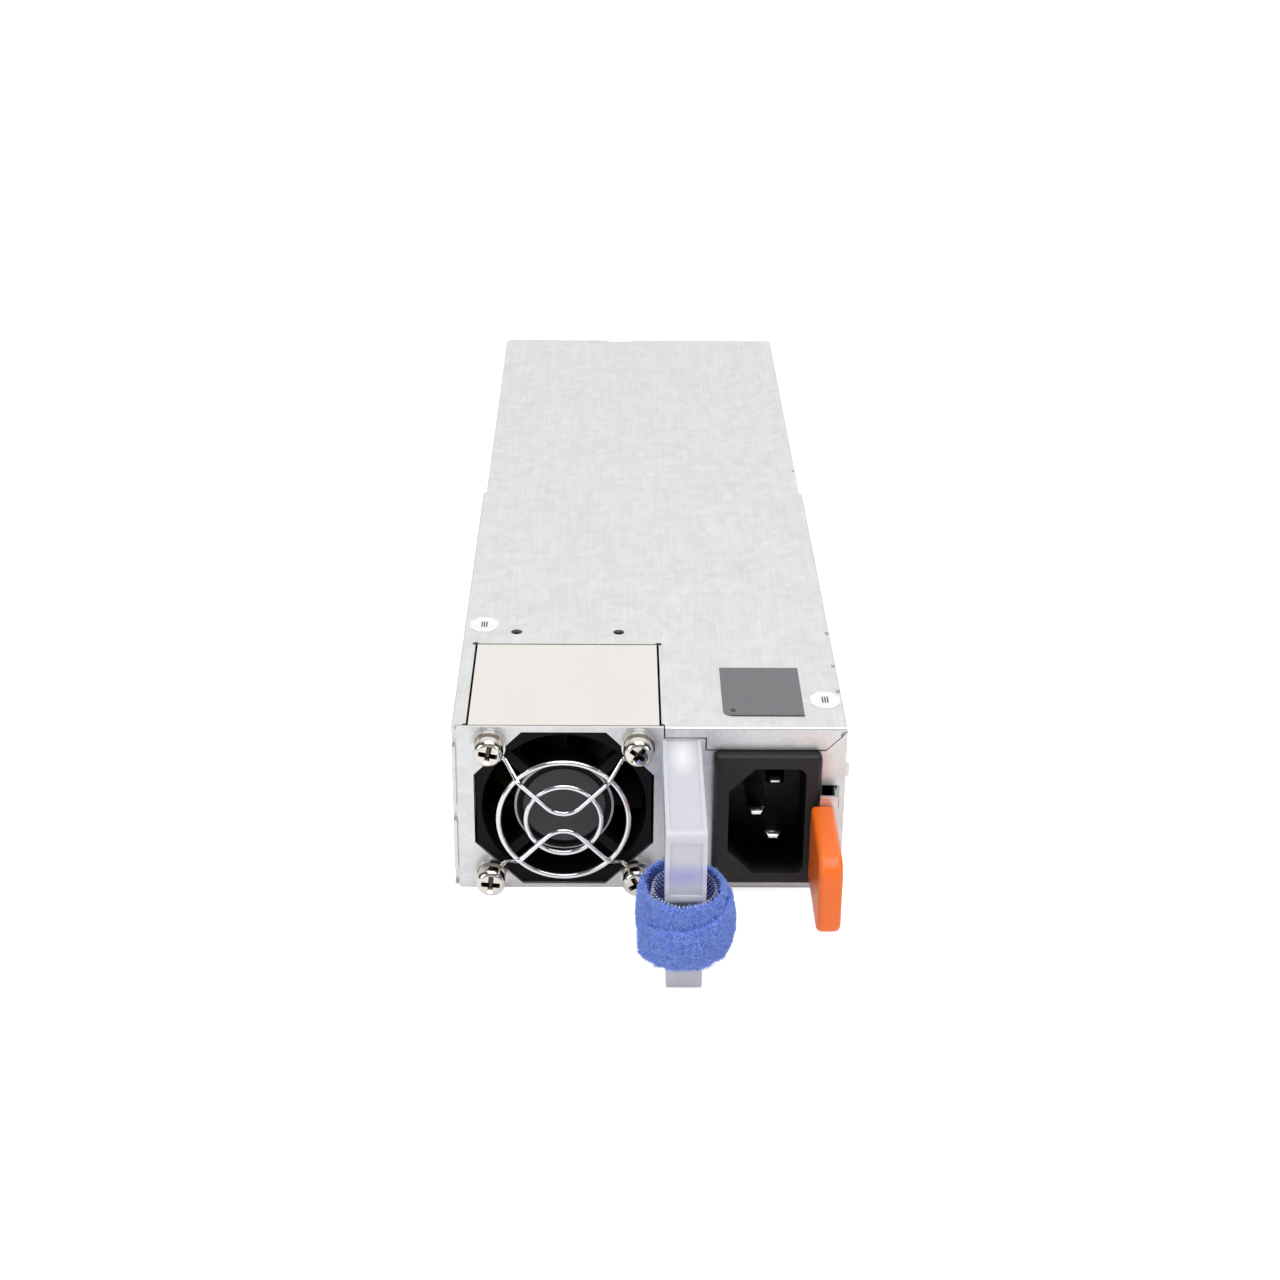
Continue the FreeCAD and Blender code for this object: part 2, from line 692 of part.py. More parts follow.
def make_rear_panel():
    """Rear plate with two rows of tall vents over the slot that the board's edge connector leaves by."""
    body = new_body("rear_panel")
    back = "body_length/2 - sheet_thickness"
    add(body, "XZ_Plane", back, BACK, box(f"-{TRAY_OUT}", "0", TRAY_OUT, ROOF))
    cut(body, "XZ_Plane", back, BACK,
        box("-(edge_width/2 + edge_room)", "board_bottom - edge_room", "edge_width/2 + edge_room",
            f"{BOARD_TOP} + edge_room"))
    count = int((value(TRAY_IN) - value("vent_margin")) / value("vent_pitch"))
    for row in range(2):
        bottom = f"{VENT_BOTTOM} + {row}*(vent_height + vent_row_gap)"
        vent = cut(body, "XZ_Plane", back, BACK,
                   box(f"-vent_pitch*{count} + vent_pitch/2 - vent_width/2", bottom,
                       f"-vent_pitch*{count} + vent_pitch/2 + vent_width/2", f"{bottom} + vent_height"))
        pattern(body, [vent], "X_Axis", "vent_pitch", 2 * count)
    return keep(body)


def make_fan_bracket():
    """Plated saddle over the fan. Its top plate fills the window in the cover."""
    body = new_body("fan_bracket")
    front = f"{PANEL_BACK} + seam_gap"
    back = behind("bracket_back")
    left = f"{FAN_X} - {BRACKET_HALF}"
    right = f"{FAN_X} + {BRACKET_HALF}"
    add(body, "XY_Plane", ROOF, "body_height", box(left, front, right, back))
    leg_front = f"{PANEL_BACK} + panel_return + seam_gap"
    add(body, "XZ_Plane", leg_front, back, box(left, "sheet_thickness", f"{left} + sheet_thickness", ROOF))
    add(body, "XZ_Plane", leg_front, back,
        box(f"{left} - bracket_foot", "sheet_thickness", left, "2*sheet_thickness"))
    add(body, "XZ_Plane", leg_front, back, box(f"{right} - sheet_thickness", "sheet_thickness", right, ROOF))
    add(body, "XZ_Plane", leg_front, back,
        box(right, "sheet_thickness", f"{right} + bracket_foot", "2*sheet_thickness"))
    return keep(body)


def make_cover_screws():
    """Flat countersunk screws that hold the skirts to the tray, two on each side."""
    body = new_body("cover_screws")
    for side in (-1, 1):
        for y in COVER_SCREWS:
            head_in, head_out = sorted((f"{TRAY_OUT}*{side}", f"{HALF}*{side}"), key=value)
            stem_in, stem_out = sorted((f"({TRAY_OUT})*{side}", f"(body_width/2 - cover_screw_length)*{side}"),
                                       key=value)
            add(body, "YZ_Plane", stem_in, stem_out, disc(y, FAN_Z, "cover_screw_radius"))
            add(body, "YZ_Plane", head_in, head_out, disc(y, FAN_Z, "cover_screw_head - seam_gap/3"))
            drive = f"(body_width/2 - sheet_thickness/2)*{side}"
            drive_in, drive_out = sorted((drive, f"{HALF}*{side}"), key=value)
            cut(body, "YZ_Plane", drive_in, drive_out,
                cross_outline(y, FAN_Z, "cover_cross_span", "cover_cross_width"))
    return keep(body)


def cross_outline(x, y, span, width):
    """A cross recess as one outline of twelve corners."""
    long, short = f"({span})/2", f"({width})/2"
    steps = ((long, short), (short, short), (short, long))
    corners = []
    for sx, sy, order in ((1, 1, 1), (-1, 1, -1), (-1, -1, 1), (1, -1, -1)):
        for dx, dy in steps[::order]:
            corners.append((f"{x} + {dx}*{sx}", f"{y} + {dy}*{sy}"))
    return corners


# ---------------------------------------------------------------------------
# Fan. Each piece is drawn about its own axis: local Y runs from the panel's back to the rear.
# ---------------------------------------------------------------------------
RING_BACK = "(ring_recess + ring_thickness)"
FAN_BOARD_BACK = f"({RING_BACK} + fan_board_thickness)"
TUBE_RADIUS = "(bearing_radius + bearing_tube_wall)"
TUBE_END = f"({RING_BACK} + bearing_tube_length)"
HUB_FRONT = f"({FAN_BOARD_BACK} + hub_clearance)"
HUB_BACK = f"({HUB_FRONT} + hub_depth)"
MAGNET_OUT = "(hub_radius - hub_wall)"
MAGNET_IN = "(hub_radius - hub_wall - magnet_thickness)"
TIP_RADIUS = "(fan_bore_radius - blade_gap)"
DIAGONAL = "0.7071"


def fan_body(label):
    return new_body(label, FAN_X, PANEL_BACK, FAN_Z)


def make_fan_frame():
    """Square frame: two flanges joined by a round tunnel."""
    body = fan_body("fan_frame")
    square = box("-fan_size/2", "-fan_size/2", "fan_size/2", "fan_size/2")
    add(body, "XZ_Plane", "0", "fan_flange", square)
    add(body, "XZ_Plane", "fan_depth - fan_flange", "fan_depth", square)
    dress(body, "Fillet", "fan_corner_radius", lambda at, way: along(way, "y"))
    add(body, "XZ_Plane", "fan_flange/2", "fan_depth - fan_flange/2",
        disc("0", "0", "fan_bore_radius + fan_wall"))
    cut(body, "XZ_Plane", "0", "fan_depth", disc("0", "0", "fan_bore_radius"))
    holes = [disc(f"{sx}fan_pitch/2", f"{sz}fan_pitch/2", "screw_radius + screw_bite")
             for sx in SIDES for sz in SIDES]
    cut(body, "XZ_Plane", "0", "fan_depth", *holes)
    return keep(body)


def make_fan_motor_base():
    """Motor ring and bearing tube on four struts that end against the tunnel's wall."""
    body = fan_body("fan_motor_base")
    reach = f"fan_bore_radius*{DIAGONAL}"
    half = f"strut_width/2*{DIAGONAL}"
    strut = add(body, "XZ_Plane", "ring_recess", "ring_recess + strut_depth",
                [(f"{reach} + {half}", f"{reach} - {half}"), (f"{reach} - {half}", f"{reach} + {half}"),
                 (f"-{half}", half), (half, f"-{half}")])
    around(body, [strut], "Y_Axis", 4)
    cut(body, "XZ_Plane", "ring_recess", "ring_recess + strut_depth",
        disc("0", "0", "fan_bore_radius - running_gap"), disc("0", "0", "fan_bore_radius + fan_wall"))
    add(body, "XZ_Plane", "ring_recess - ring_lip", FAN_BOARD_BACK, disc("0", "0", "ring_radius"))
    cut(body, "XZ_Plane", "ring_recess - ring_lip", "ring_recess", disc("0", "0", "ring_radius - ring_lip"))
    cut(body, "XZ_Plane", RING_BACK, "ring_recess + strut_depth + ring_lip",
        disc("0", "0", "ring_radius - ring_lip"))
    add(body, "XZ_Plane", "ring_recess", TUBE_END, disc("0", "0", TUBE_RADIUS))
    cut(body, "XZ_Plane", RING_BACK, TUBE_END, disc("0", "0", "bearing_radius"))
    return keep(body)


def make_fan_bearings():
    """Two ball bearings at the ends of the bearing tube."""
    body = fan_body("fan_bearings")
    for start in (f"{RING_BACK} + bearing_width/2", f"{TUBE_END} - bearing_width"):
        add(body, "XZ_Plane", start, f"{start} + bearing_width", disc("0", "0", "bearing_radius"),
            disc("0", "0", "shaft_radius + running_gap"))
    return keep(body)


def make_fan_shaft():
    body = fan_body("fan_shaft")
    add(body, "XZ_Plane", f"{RING_BACK} + bearing_width/4", f"{HUB_BACK} - hub_wall",
        disc("0", "0", "shaft_radius"))
    return keep(body)


def blade_section(body, radius, lean):
    """A cambered blade section, one arc for each face, in the plane at this radius."""
    middle = f"({HUB_FRONT} + hub_depth/2)"
    sketch = body.newObject("Sketcher::SketchObject", "BladeSection")
    sketch.AttachmentSupport = [(origin_item(body, "YZ_Plane"), "")]
    sketch.MapMode = "FlatFace"
    sketch.setExpression("AttachmentOffset.Base.z", linked(radius))
    tips = [(f"{middle} - blade_chord/2", f"-blade_chord*({lean})/2"),
            (f"{middle} + blade_chord/2", f"blade_chord*({lean})/2")]
    front, rear = (Vector(value(y), value(z), 0) for y, z in tips)
    half_chord = f"(blade_chord/2*sqrt(1 + ({lean})^2))"
    across = Vector(front.y - rear.y, rear.x - front.x, 0).normalize()
    arcs = []
    for bulge in ("blade_camber", "(blade_camber + blade_thickness)"):
        crown = (front + rear) / 2 + across * value(bulge)
        arc = sketch.addGeometry(Part.Arc(front, crown, rear))
        arcs.append((arc, f"({half_chord}^2 + {bulge}^2)/(2*{bulge})"))

    def end_at(arc, point):
        return 1 if (sketch.getPoint(arc, 1) - point).Length < 1e-6 else 2

    for point in (front, rear):
        sketch.addConstraint(Sketcher.Constraint("Coincident", arcs[0][0], end_at(arcs[0][0], point),
                                                 arcs[1][0], end_at(arcs[1][0], point)))
    for point, (y, z) in zip((front, rear), tips):
        fix_point(sketch, arcs[0][0], end_at(arcs[0][0], point), point, y, z)
    for arc, formula in arcs:
        index = sketch.addConstraint(Sketcher.Constraint("Radius", arc, value(formula)))
        sketch.setExpression(f"Constraints[{index}]", linked(formula))
    sketch.recompute()
    return sketch


def make_fan_rotor():
    """Cup-shaped hub with swept blades, lofted from root to tip and trimmed to the tunnel."""
    body = fan_body("fan_rotor")
    add(body, "XZ_Plane", HUB_FRONT, HUB_BACK, disc("0", "0", "hub_radius"))
    blade = body.newObject("PartDesign::AdditiveLoft", "Blade")
    blade.Profile = blade_section(body, "hub_radius - hub_wall/2", "blade_lean_root")
    blade.Sections = [blade_section(body, "fan_bore_radius + blade_gap", "blade_lean_tip")]
    blade.Ruled = True
    settle(body, blade)
    around(body, [blade], "Y_Axis", int(value("blade_count")))
    cut(body, "XZ_Plane", f"{HUB_FRONT} - blade_chord", f"{HUB_BACK} + blade_chord",
        disc("0", "0", TIP_RADIUS), disc("0", "0", "fan_bore_radius*2"))
    cut(body, "XZ_Plane", HUB_FRONT, f"{HUB_BACK} - hub_wall", disc("0", "0", MAGNET_OUT))
    return keep(body)


def make_fan_magnet():
    """Ring magnet bonded inside the hub's cup."""
    body = fan_body("fan_magnet")
    back = f"{HUB_BACK} - hub_wall"
    add(body, "XZ_Plane", f"{back} - magnet_length", back, disc("0", "0", MAGNET_OUT), disc("0", "0", MAGNET_IN))
    return keep(body)


def make_fan_stator():
    """Four-pole laminated core with its windings, pressed on the bearing tube."""
    body = fan_body("fan_stator")
    back = f"{TUBE_END} - bearing_width/2"
    front = f"{back} - stator_length"
    add(body, "XZ_Plane", front, back, disc("0", "0", f"{MAGNET_IN} - air_gap"), disc("0", "0", TUBE_RADIUS))
    reach = f"({MAGNET_IN} - air_gap)*{DIAGONAL}"
    near_hub = f"({TUBE_RADIUS} + bearing_tube_wall)*{DIAGONAL}"
    half = f"stator_slot/2*{DIAGONAL}"
    slot = cut(body, "XZ_Plane", front, back,
               [(f"{reach} + {half}", f"{reach} - {half}"), (f"{reach} - {half}", f"{reach} + {half}"),
                (f"{near_hub} - {half}", f"{near_hub} + {half}"), (f"{near_hub} + {half}", f"{near_hub} - {half}")])
    around(body, [slot], "Y_Axis", 4)
    return keep(body)


def make_fan_circuit_board():
    body = fan_body("fan_circuit_board")
    add(body, "XZ_Plane", RING_BACK, FAN_BOARD_BACK, disc("0", "0", "ring_radius - ring_lip"),
        disc("0", "0", TUBE_RADIUS))
    return keep(body)


def make_hub_label():
    """Round label in the recess of the motor ring."""
    body = fan_body("hub_label")
    add(body, "XZ_Plane", "ring_recess - label_thickness", "ring_recess", disc("0", "0", "label_radius"))
    return keep(body)


# ---------------------------------------------------------------------------
# Fan guard and its fasteners, in front of the panel
# ---------------------------------------------------------------------------
WASHER_FRONT = "(2*wire_radius + flat_washer_height)"
SPRING_FRONT = f"({WASHER_FRONT} + spring_washer_height)"
EYE_RADIUS = "(screw_radius + screw_fit + wire_radius)"


def ahead(distance):
    """A Y position in front of the front face."""
    return f"(-body_length/2 - ({distance}))"


WIRE_SIDES = 8


def wire_section(at, heading, radius, upright):
    """An eight-sided section of a wire, square to its heading, with a flat towards upright."""
    across = heading.cross(upright).normalize()
    above = across.cross(heading).normalize()
    corners = []
    for side in range(WIRE_SIDES):
        turn = math.pi * (2 * side + 1) / WIRE_SIDES
        corners.append(at + across * (radius * math.cos(turn)) + above * (radius * math.sin(turn)))
    return Part.Face(Part.makePolygon([*corners, corners[0]]))


def bent_wire(points, bends, radius):
    """A wire through the points as one solid: straight runs, with a tangent arc at each inner point."""
    runs = []
    start = points[0]
    for before, corner, after, bend in zip(points, points[1:], points[2:], bends):
        back = (before - corner).normalize()
        forth = (after - corner).normalize()
        half_angle = back.getAngle(forth) / 2
        axis = back.cross(forth).normalize()
        hub = corner + (back + forth).normalize() * (bend / math.sin(half_angle))
        arc_start = corner + back * (bend / math.tan(half_angle))
        runs.append(wire_section(start, back * -1, radius, axis).extrude(arc_start - start))
        turn = 180 - 2 * math.degrees(half_angle)
        runs.append(wire_section(arc_start, back * -1, radius, axis).revolve(hub, axis * -1, turn))
        start = corner + forth * (bend / math.tan(half_angle))
    runs.append(wire_section(start, forth, radius, axis).extrude(points[-1] - start))
    wire = runs[0].fuse(runs[1:]).removeSplitter()
    assert wire.isValid() and len(wire.Solids) == 1, "a bent wire isn't one solid"
    return wire


def wire_ring(centre, ring_radius, radius):
    """A closed ring of wire that faces the front."""
    forward = Vector(0, 1, 0)
    start = centre + Vector(ring_radius, 0, 0)
    return wire_section(start, Vector(0, 0, 1), radius, forward).revolve(centre, forward, 360)


def guard_wire(upper):
    """One bent wire of the guard, from eye to eye: a dog-leg outwards at each end, a rounded vertex between."""
    up = 1 if upper else -1
    centre = Vector(value(FAN_X), 0, value(FAN_Z))
    half = value("fan_pitch") / 2
    eye = value(EYE_RADIUS)
    flat_y = value(ahead("wire_radius"))
    proud_y = value(ahead("wire_radius + guard_standoff"))
    foot = value("guard_foot")
    rise = value("guard_rise")

    def place(side, inward, y):
        """A point on the diagonal, at a distance inward from the screw's centre."""
        offset = half - inward * math.sqrt(0.5)
        return Vector(centre.x + side * offset, y, centre.z + up * offset)

    lead_in = eye + foot
    left = [place(-1, lead_in, flat_y), place(-1, lead_in + rise, proud_y)]
    right = [place(1, lead_in + rise, proud_y), place(1, lead_in, flat_y)]
    vertex = Vector(centre.x, proud_y, centre.z)
    bends = [value("guard_bend_radius")] * 5
    bends[2] = value("guard_apex_radius")
    points = [place(-1, eye, flat_y), *left, vertex, *right, place(1, eye, flat_y)]
    return bent_wire(points, bends, value("wire_radius"))


def guard_eye(x, z):
    """Ring of wire round a screw, flat on the panel."""
    return wire_ring(Vector(x, value(ahead("wire_radius")), z), value(EYE_RADIUS), value("wire_radius"))


def make_fan_guard():
    """Chrome wire guard: two concentric rings welded behind two bent wires that end in eyes."""
    guard = doc.addObject("Part::Feature", "FanGuard")
    guard.Label = "fan_guard"
    ring_y = value(ahead("guard_standoff - wire_radius + guard_weld"))
    centre = Vector(value(FAN_X), ring_y, value(FAN_Z))
    shape = guard_wire(True).fuse([guard_wire(False)])
    for x, z in FAN_CORNERS:
        shape = shape.fuse([guard_eye(value(x), value(z))])
    for radius in ("guard_outer_ring", "guard_inner_ring"):
        shape = shape.fuse([wire_ring(centre, value(radius), value("wire_radius"))])
    assert len(shape.Solids) == 1, "the fan guard isn't welded into one piece"
    guard.Shape = shape
    guard.Placement = Placement()
    return keep(guard)


def make_guard_screws():
    """Pan-head screws with cross recesses, one at each corner of the fan."""
    body = new_body("guard_screws", FAN_X, FRONT, FAN_Z)
    for sx in SIDES:
        for sz in SIDES:
            x, z = f"{sx}fan_pitch/2", f"{sz}fan_pitch/2"
            add(body, "XZ_Plane", f"-{SPRING_FRONT}", "sheet_thickness + fan_flange - screw_bite",
                disc(x, z, "screw_radius"))
            add(body, "XZ_Plane", f"-{SPRING_FRONT} - screw_head_height", f"-{SPRING_FRONT}",
                disc(x, z, "screw_head_radius"))
    dress(body, "Chamfer", "screw_head_rounding", lambda at, way: way is None
          and near(at.y, f"-{SPRING_FRONT} - screw_head_height"))
    for sx in SIDES:
        for sz in SIDES:
            cut(body, "XZ_Plane", f"-{SPRING_FRONT} - screw_head_height",
                f"-{SPRING_FRONT} - screw_head_height + cross_depth",
                cross_outline(f"{sx}fan_pitch/2", f"{sz}fan_pitch/2", "cross_span", "cross_width"))
    return keep(body)


def make_washers(label, radius, back, front):
    """Four plain or spring washers on the guard's screws."""
    body = new_body(label, FAN_X, FRONT, FAN_Z)
    for sx in SIDES:
        for sz in SIDES:
            x, z = f"{sx}fan_pitch/2", f"{sz}fan_pitch/2"
            add(body, "XZ_Plane", f"-{front}", f"-{back}", disc(x, z, radius),
                disc(x, z, "screw_radius + screw_bite"))
    return keep(body)


# ---------------------------------------------------------------------------
# Pull handle and its strap
# ---------------------------------------------------------------------------
def make_pull_handle():
    """Clear moulded loop: two legs, an upright grip with a slimmer neck, and barbed tenons."""
    body = new_body("pull_handle", HANDLE_X, FRONT, "0")
    reach = "-handle_reach"
    grip_back = "(-handle_reach + handle_grip)"
    neck = "(-handle_reach + handle_neck_inset)"
    outline = [("0", "handle_foot_bottom"), (reach, "handle_foot_bottom"), (reach, "handle_foot_top"),
               (neck, "handle_foot_top"), (neck, "handle_step"), (reach, "handle_step"), (reach, "handle_top"),
               ("0", "handle_top")]
    hole_top = "handle_top - handle_leg"
    hole = box(grip_back, "handle_foot_top", "handle_reach", hole_top)
    add(body, "YZ_Plane", "-handle_width/2", "handle_width/2", outline)
    cut(body, "YZ_Plane", "-handle_width/2", "handle_width/2", hole)
    dress(body, "Fillet", "handle_rounding", lambda at, way: along(way, "x")
          and near(at.y, reach) and (near(at.z, "handle_step") or near(at.z, "handle_top")))
    dress(body, "Chamfer", "handle_foot_chamfer", lambda at, way: along(way, "x")
          and near(at.y, reach) and near(at.z, "handle_foot_bottom"))
    for side in (-1, 1):
        low, high = sorted((f"(handle_width/2)*{side}", f"(handle_width/2 - handle_foot_narrowing)*{side}"),
                           key=value)
        cut(body, "YZ_Plane", low, high, box(f"{reach} - handle_rounding", "0", "0", "handle_step"))
    for low, high_end in HANDLE_TENONS:
        half = "handle_width/2 - tenon_inset"
        barb = f"{half} + tenon_barb"
        back = "sheet_thickness + tenon_length"
        add(body, "XY_Plane", low, high_end,
            [(f"-({half})", "0"), (f"-({half})", "sheet_thickness"), (f"-({barb})", "sheet_thickness"),
             (f"-({half})", back), (half, back), (barb, "sheet_thickness"), (half, "sheet_thickness"),
             (half, "0")])
    return keep(body)


def make_cord_strap():
    """Rolled hook-and-loop strap round the handle's neck, its axis upright."""
    body = new_body("cord_strap", HANDLE_X, ahead("strap_forward"), "handle_foot_top + soft_clearance")
    add(body, "XY_Plane", "0", "strap_width", strap_outline("0"))
    dress(body, "Fillet", "strap_rounding", lambda at, way: along(way, "z"))
    cut(body, "XY_Plane", "0", "strap_width", strap_outline("strap_wall"))
    return keep(body)


def strap_outline(inset):
    """An octagon inside the strap's width and depth."""
    half_x = f"(strap_outer_width/2 - {inset})"
    half_y = f"(strap_outer_depth/2 - {inset})"
    corner = "0.5858"
    turns = ((1, -1, 0, 1), (1, 1, 0, 1), (1, 1, 1, 0), (-1, 1, 1, 0), (-1, 1, 0, 1), (-1, -1, 0, 1),
             (-1, -1, 1, 0), (1, -1, 1, 0))
    return [(f"{half_x}*(1 - {corner}*{cx})*{sx}", f"{half_y}*(1 - {corner}*{cy})*{sy}")
            for sx, sy, cx, cy in turns]


# ---------------------------------------------------------------------------
# Release latch
# ---------------------------------------------------------------------------
JOG_FRONT = "(latch_jog_start + latch_thickness)"
TONGUE_IN = f"({TAB_MIDDLE} - latch_thickness/2)"
TONGUE_OUT = f"({TAB_MIDDLE} + latch_thickness/2)"
TONGUE_BOTTOM = "((tab_bottom + tab_top)/2 - tongue_height/2)"
TONGUE_TOP = "((tab_bottom + tab_top)/2 + tongue_height/2)"
TONGUE_FRONT = "(tab_reach - tongue_margin)"


def make_latch_spring():
    """Leaf spring inside the right wall, with the catch tooth and the tongue that carries the tab."""
    body = new_body("latch_spring")
    rear = behind("latch_pivot")
    plan = [(LATCH_IN, rear), (LATCH_OUT, rear), (LATCH_OUT, ahead(JOG_FRONT)),
            (TONGUE_OUT, ahead(JOG_FRONT)), (TONGUE_OUT, ahead(TONGUE_FRONT)), (TONGUE_IN, ahead(TONGUE_FRONT)),
            (TONGUE_IN, ahead("latch_jog_start")), (LATCH_IN, ahead("latch_jog_start"))]
    low = f"{LATCH_Z} - latch_rivet_pitch/2 - latch_pad_margin"
    high = f"{LATCH_Z} + latch_rivet_pitch/2 + latch_pad_margin"
    add(body, "XY_Plane", TONGUE_BOTTOM, high, plan)
    pad_front = behind("latch_pivot - latch_pad_length")
    # trim the side view down to pad, strip and tongue
    inside, outside = f"{TONGUE_IN} - latch_thickness", f"{LATCH_OUT} + latch_thickness"
    cut(body, "YZ_Plane", inside, outside,
        [(ahead("latch_jog_start"), TONGUE_BOTTOM), (rear, TONGUE_BOTTOM), (rear, low), (pad_front, low),
         (pad_front, "latch_strip_bottom"), (ahead("latch_jog_start"), "latch_strip_bottom")])
    cut(body, "YZ_Plane", inside, outside,
        [(pad_front, high), (ahead("tab_reach"), high), (ahead("tab_reach"), TONGUE_TOP),
         (ahead(JOG_FRONT), TONGUE_TOP), (ahead(JOG_FRONT), LATCH_TOP), (pad_front, LATCH_TOP)])
    tooth_back = behind("tooth_start + tooth_length")
    add(body, "XY_Plane", f"{LATCH_TOP} - tooth_height", LATCH_TOP,
        [(LATCH_IN, behind("tooth_start")), (f"{HALF} + tooth_reach", behind("tooth_start + latch_thickness")),
         (f"{HALF} + tooth_reach", behind("tooth_start + 2*latch_thickness")), (LATCH_OUT, tooth_back),
         (LATCH_IN, tooth_back)])
    cut(body, "YZ_Plane", LATCH_IN, LATCH_OUT, *[disc(RIVET_Y, z, "rivet_radius + rivet_play")
                                                for z in LATCH_RIVETS])
    return keep(body)


def make_latch_rivets():
    """Two rivets that carry the leaf at its rear end, flush with the tray's outer side."""
    body = new_body("latch_rivets")
    head_back = f"{LATCH_IN} - rivet_play"
    for z in LATCH_RIVETS:
        add(body, "YZ_Plane", head_back, TRAY_OUT, disc(RIVET_Y, z, "rivet_radius"))
        add(body, "YZ_Plane", f"{head_back} - rivet_head_height", head_back,
            disc(RIVET_Y, z, "rivet_head_radius"))
    return keep(body)


def make_latch_tab():
    """Moulded thumb tab over the leaf's tongue."""
    body = new_body("latch_tab")
    left = f"{TAB_RIGHT} - tab_thickness"
    add(body, "YZ_Plane", left, TAB_RIGHT,
        box(ahead("tab_reach"), "tab_bottom", ahead("tab_start"), "tab_top"))
    dress(body, "Fillet", "tab_rounding", lambda at, way: along(way, "x") and near(at.y, ahead("tab_reach")))
    dress(body, "Fillet", "tab_edge", lambda at, way: near(at.x, left) or near(at.x, TAB_RIGHT))
    cut(body, "YZ_Plane", TONGUE_IN, TONGUE_OUT,
        box(ahead(TONGUE_FRONT), TONGUE_BOTTOM, ahead("tab_start"), TONGUE_TOP))
    return keep(body)


# ---------------------------------------------------------------------------
# Appliance inlet
# ---------------------------------------------------------------------------
PIN_X = f"({INLET_X} + line_pin_shift)"
EARTH_X = f"({PIN_X} - earth_setback)"
INLET_REAR = "inlet_body_depth"


def make_inlet_body():
    """Black moulded inlet with a keyed cavity, turned on its side."""
    body = new_body("inlet_body", "0", FRONT, "0")
    add(body, "XZ_Plane", "-inlet_flange", "0",
        box(INLET_LEFT, "inlet_bottom", INLET_RIGHT, "inlet_bottom + inlet_height"))
    dress(body, "Fillet", "inlet_corner", lambda at, way: along(way, "y") or near(at.y, "-inlet_flange"))
    add(body, "XZ_Plane", "0", INLET_REAR,
        box(f"{INLET_LEFT} + inlet_body_inset", "inlet_bottom + inlet_body_inset",
            f"{INLET_RIGHT} - inlet_body_inset", "inlet_bottom + inlet_height - inlet_body_inset"))
    left, right = f"({INLET_X} - cavity_width/2)", f"({INLET_X} + cavity_width/2)"
    low, high = f"({INLET_Z} - cavity_height/2)", f"({INLET_Z} + cavity_height/2)"
    cut(body, "XZ_Plane", "-inlet_flange", "cavity_depth - inlet_flange",
        [(f"{left} + cavity_chamfer", low), (right, low), (right, high), (f"{left} + cavity_chamfer", high),
         (left, f"{high} - cavity_chamfer"), (left, f"{low} + cavity_chamfer")])
    dress(body, "Fillet", "cavity_rounding", lambda at, way: along(way, "y") and near(at.x, right)
          and (near(at.z, low) or near(at.z, high)))
    pins = [pin_section(PIN_X, f"{INLET_Z} + pin_pitch/2"), pin_section(PIN_X, f"{INLET_Z} - pin_pitch/2"),
            pin_section(EARTH_X, INLET_Z)]
    cut(body, "XZ_Plane", "cavity_depth - inlet_flange", INLET_REAR, *pins)
    return keep(body)


def pin_section(x, z):
    return box(f"{x} - pin_width/2", f"{z} - pin_thickness/2", f"{x} + pin_width/2", f"{z} + pin_thickness/2")


def make_pins(label, x, places, recess):
    """Flat pins through the inlet's rear wall, their tails in the inlet board."""
    body = new_body(label, "0", FRONT, "0")
    for z in places:
        add(body, "XZ_Plane", f"{recess} - inlet_flange", f"{INLET_REAR} + pin_tail", pin_section(x, z))
    dress(body, "Chamfer", "pin_chamfer", lambda at, way: near(at.y, f"{recess} - inlet_flange"))
    return keep(body)


def make_inlet_board():
    """Small upright board that the inlet's pins and the indicator are soldered to."""
    body = new_body("inlet_board", "0", FRONT, "0")
    add(body, "XZ_Plane", INLET_REAR, f"{INLET_REAR} + inlet_board_thickness",
        box(HANDLE_LEFT, BOARD_TOP, f"{INLET_RIGHT} - inlet_body_inset",
            "inlet_bottom + inlet_height - inlet_body_inset"))
    cut(body, "XZ_Plane", INLET_REAR, f"{INLET_REAR} + inlet_board_thickness",
        pin_section(PIN_X, f"{INLET_Z} + pin_pitch/2"), pin_section(PIN_X, f"{INLET_Z} - pin_pitch/2"),
        pin_section(EARTH_X, INLET_Z))
    return keep(body)


def make_status_led():
    """Indicator on a spacer behind the handle's upper tenon, which carries its light out."""
    body = new_body("status_led", HANDLE_X, FRONT, "handle_top - handle_leg/2")
    tip = "sheet_thickness + tenon_length + seam_gap"
    add(body, "XZ_Plane", tip, INLET_REAR, disc("0", "0", "led_radius"))
    add(body, "XZ_Plane", f"{tip} + 2*led_radius", INLET_REAR, disc("0", "0", "led_spacer_radius"))
    return keep(body)


# ---------------------------------------------------------------------------
# Labels on the top
# ---------------------------------------------------------------------------
def make_top_label():
    """Plain grey label with one rounded corner."""
    body = new_body("top_label", "body_width/2 - sticker_inset", behind("sticker_front"), "body_height")
    add(body, "XY_Plane", "0", "sticker_thickness",
        box("-sticker_width/2", "0", "sticker_width/2", "sticker_length"))
    dress(body, "Fillet", "sticker_corner", lambda at, way: along(way, "z") and near(at.y, "0")
          and near(at.x, "-sticker_width/2"))
    return keep(body)


def make_inspection_dots():
    """Two round paper dots."""
    body = new_body("inspection_dots", "0", "0", "body_height")
    add(body, "XY_Plane", "0", "sticker_thickness",
        disc("left_dot_inset - body_width/2", behind("left_dot_setback"), "dot_radius"))
    add(body, "XY_Plane", "0", "sticker_thickness",
        disc("body_width/2 - right_dot_inset", behind("right_dot_setback"), "dot_radius"))
    return keep(body)


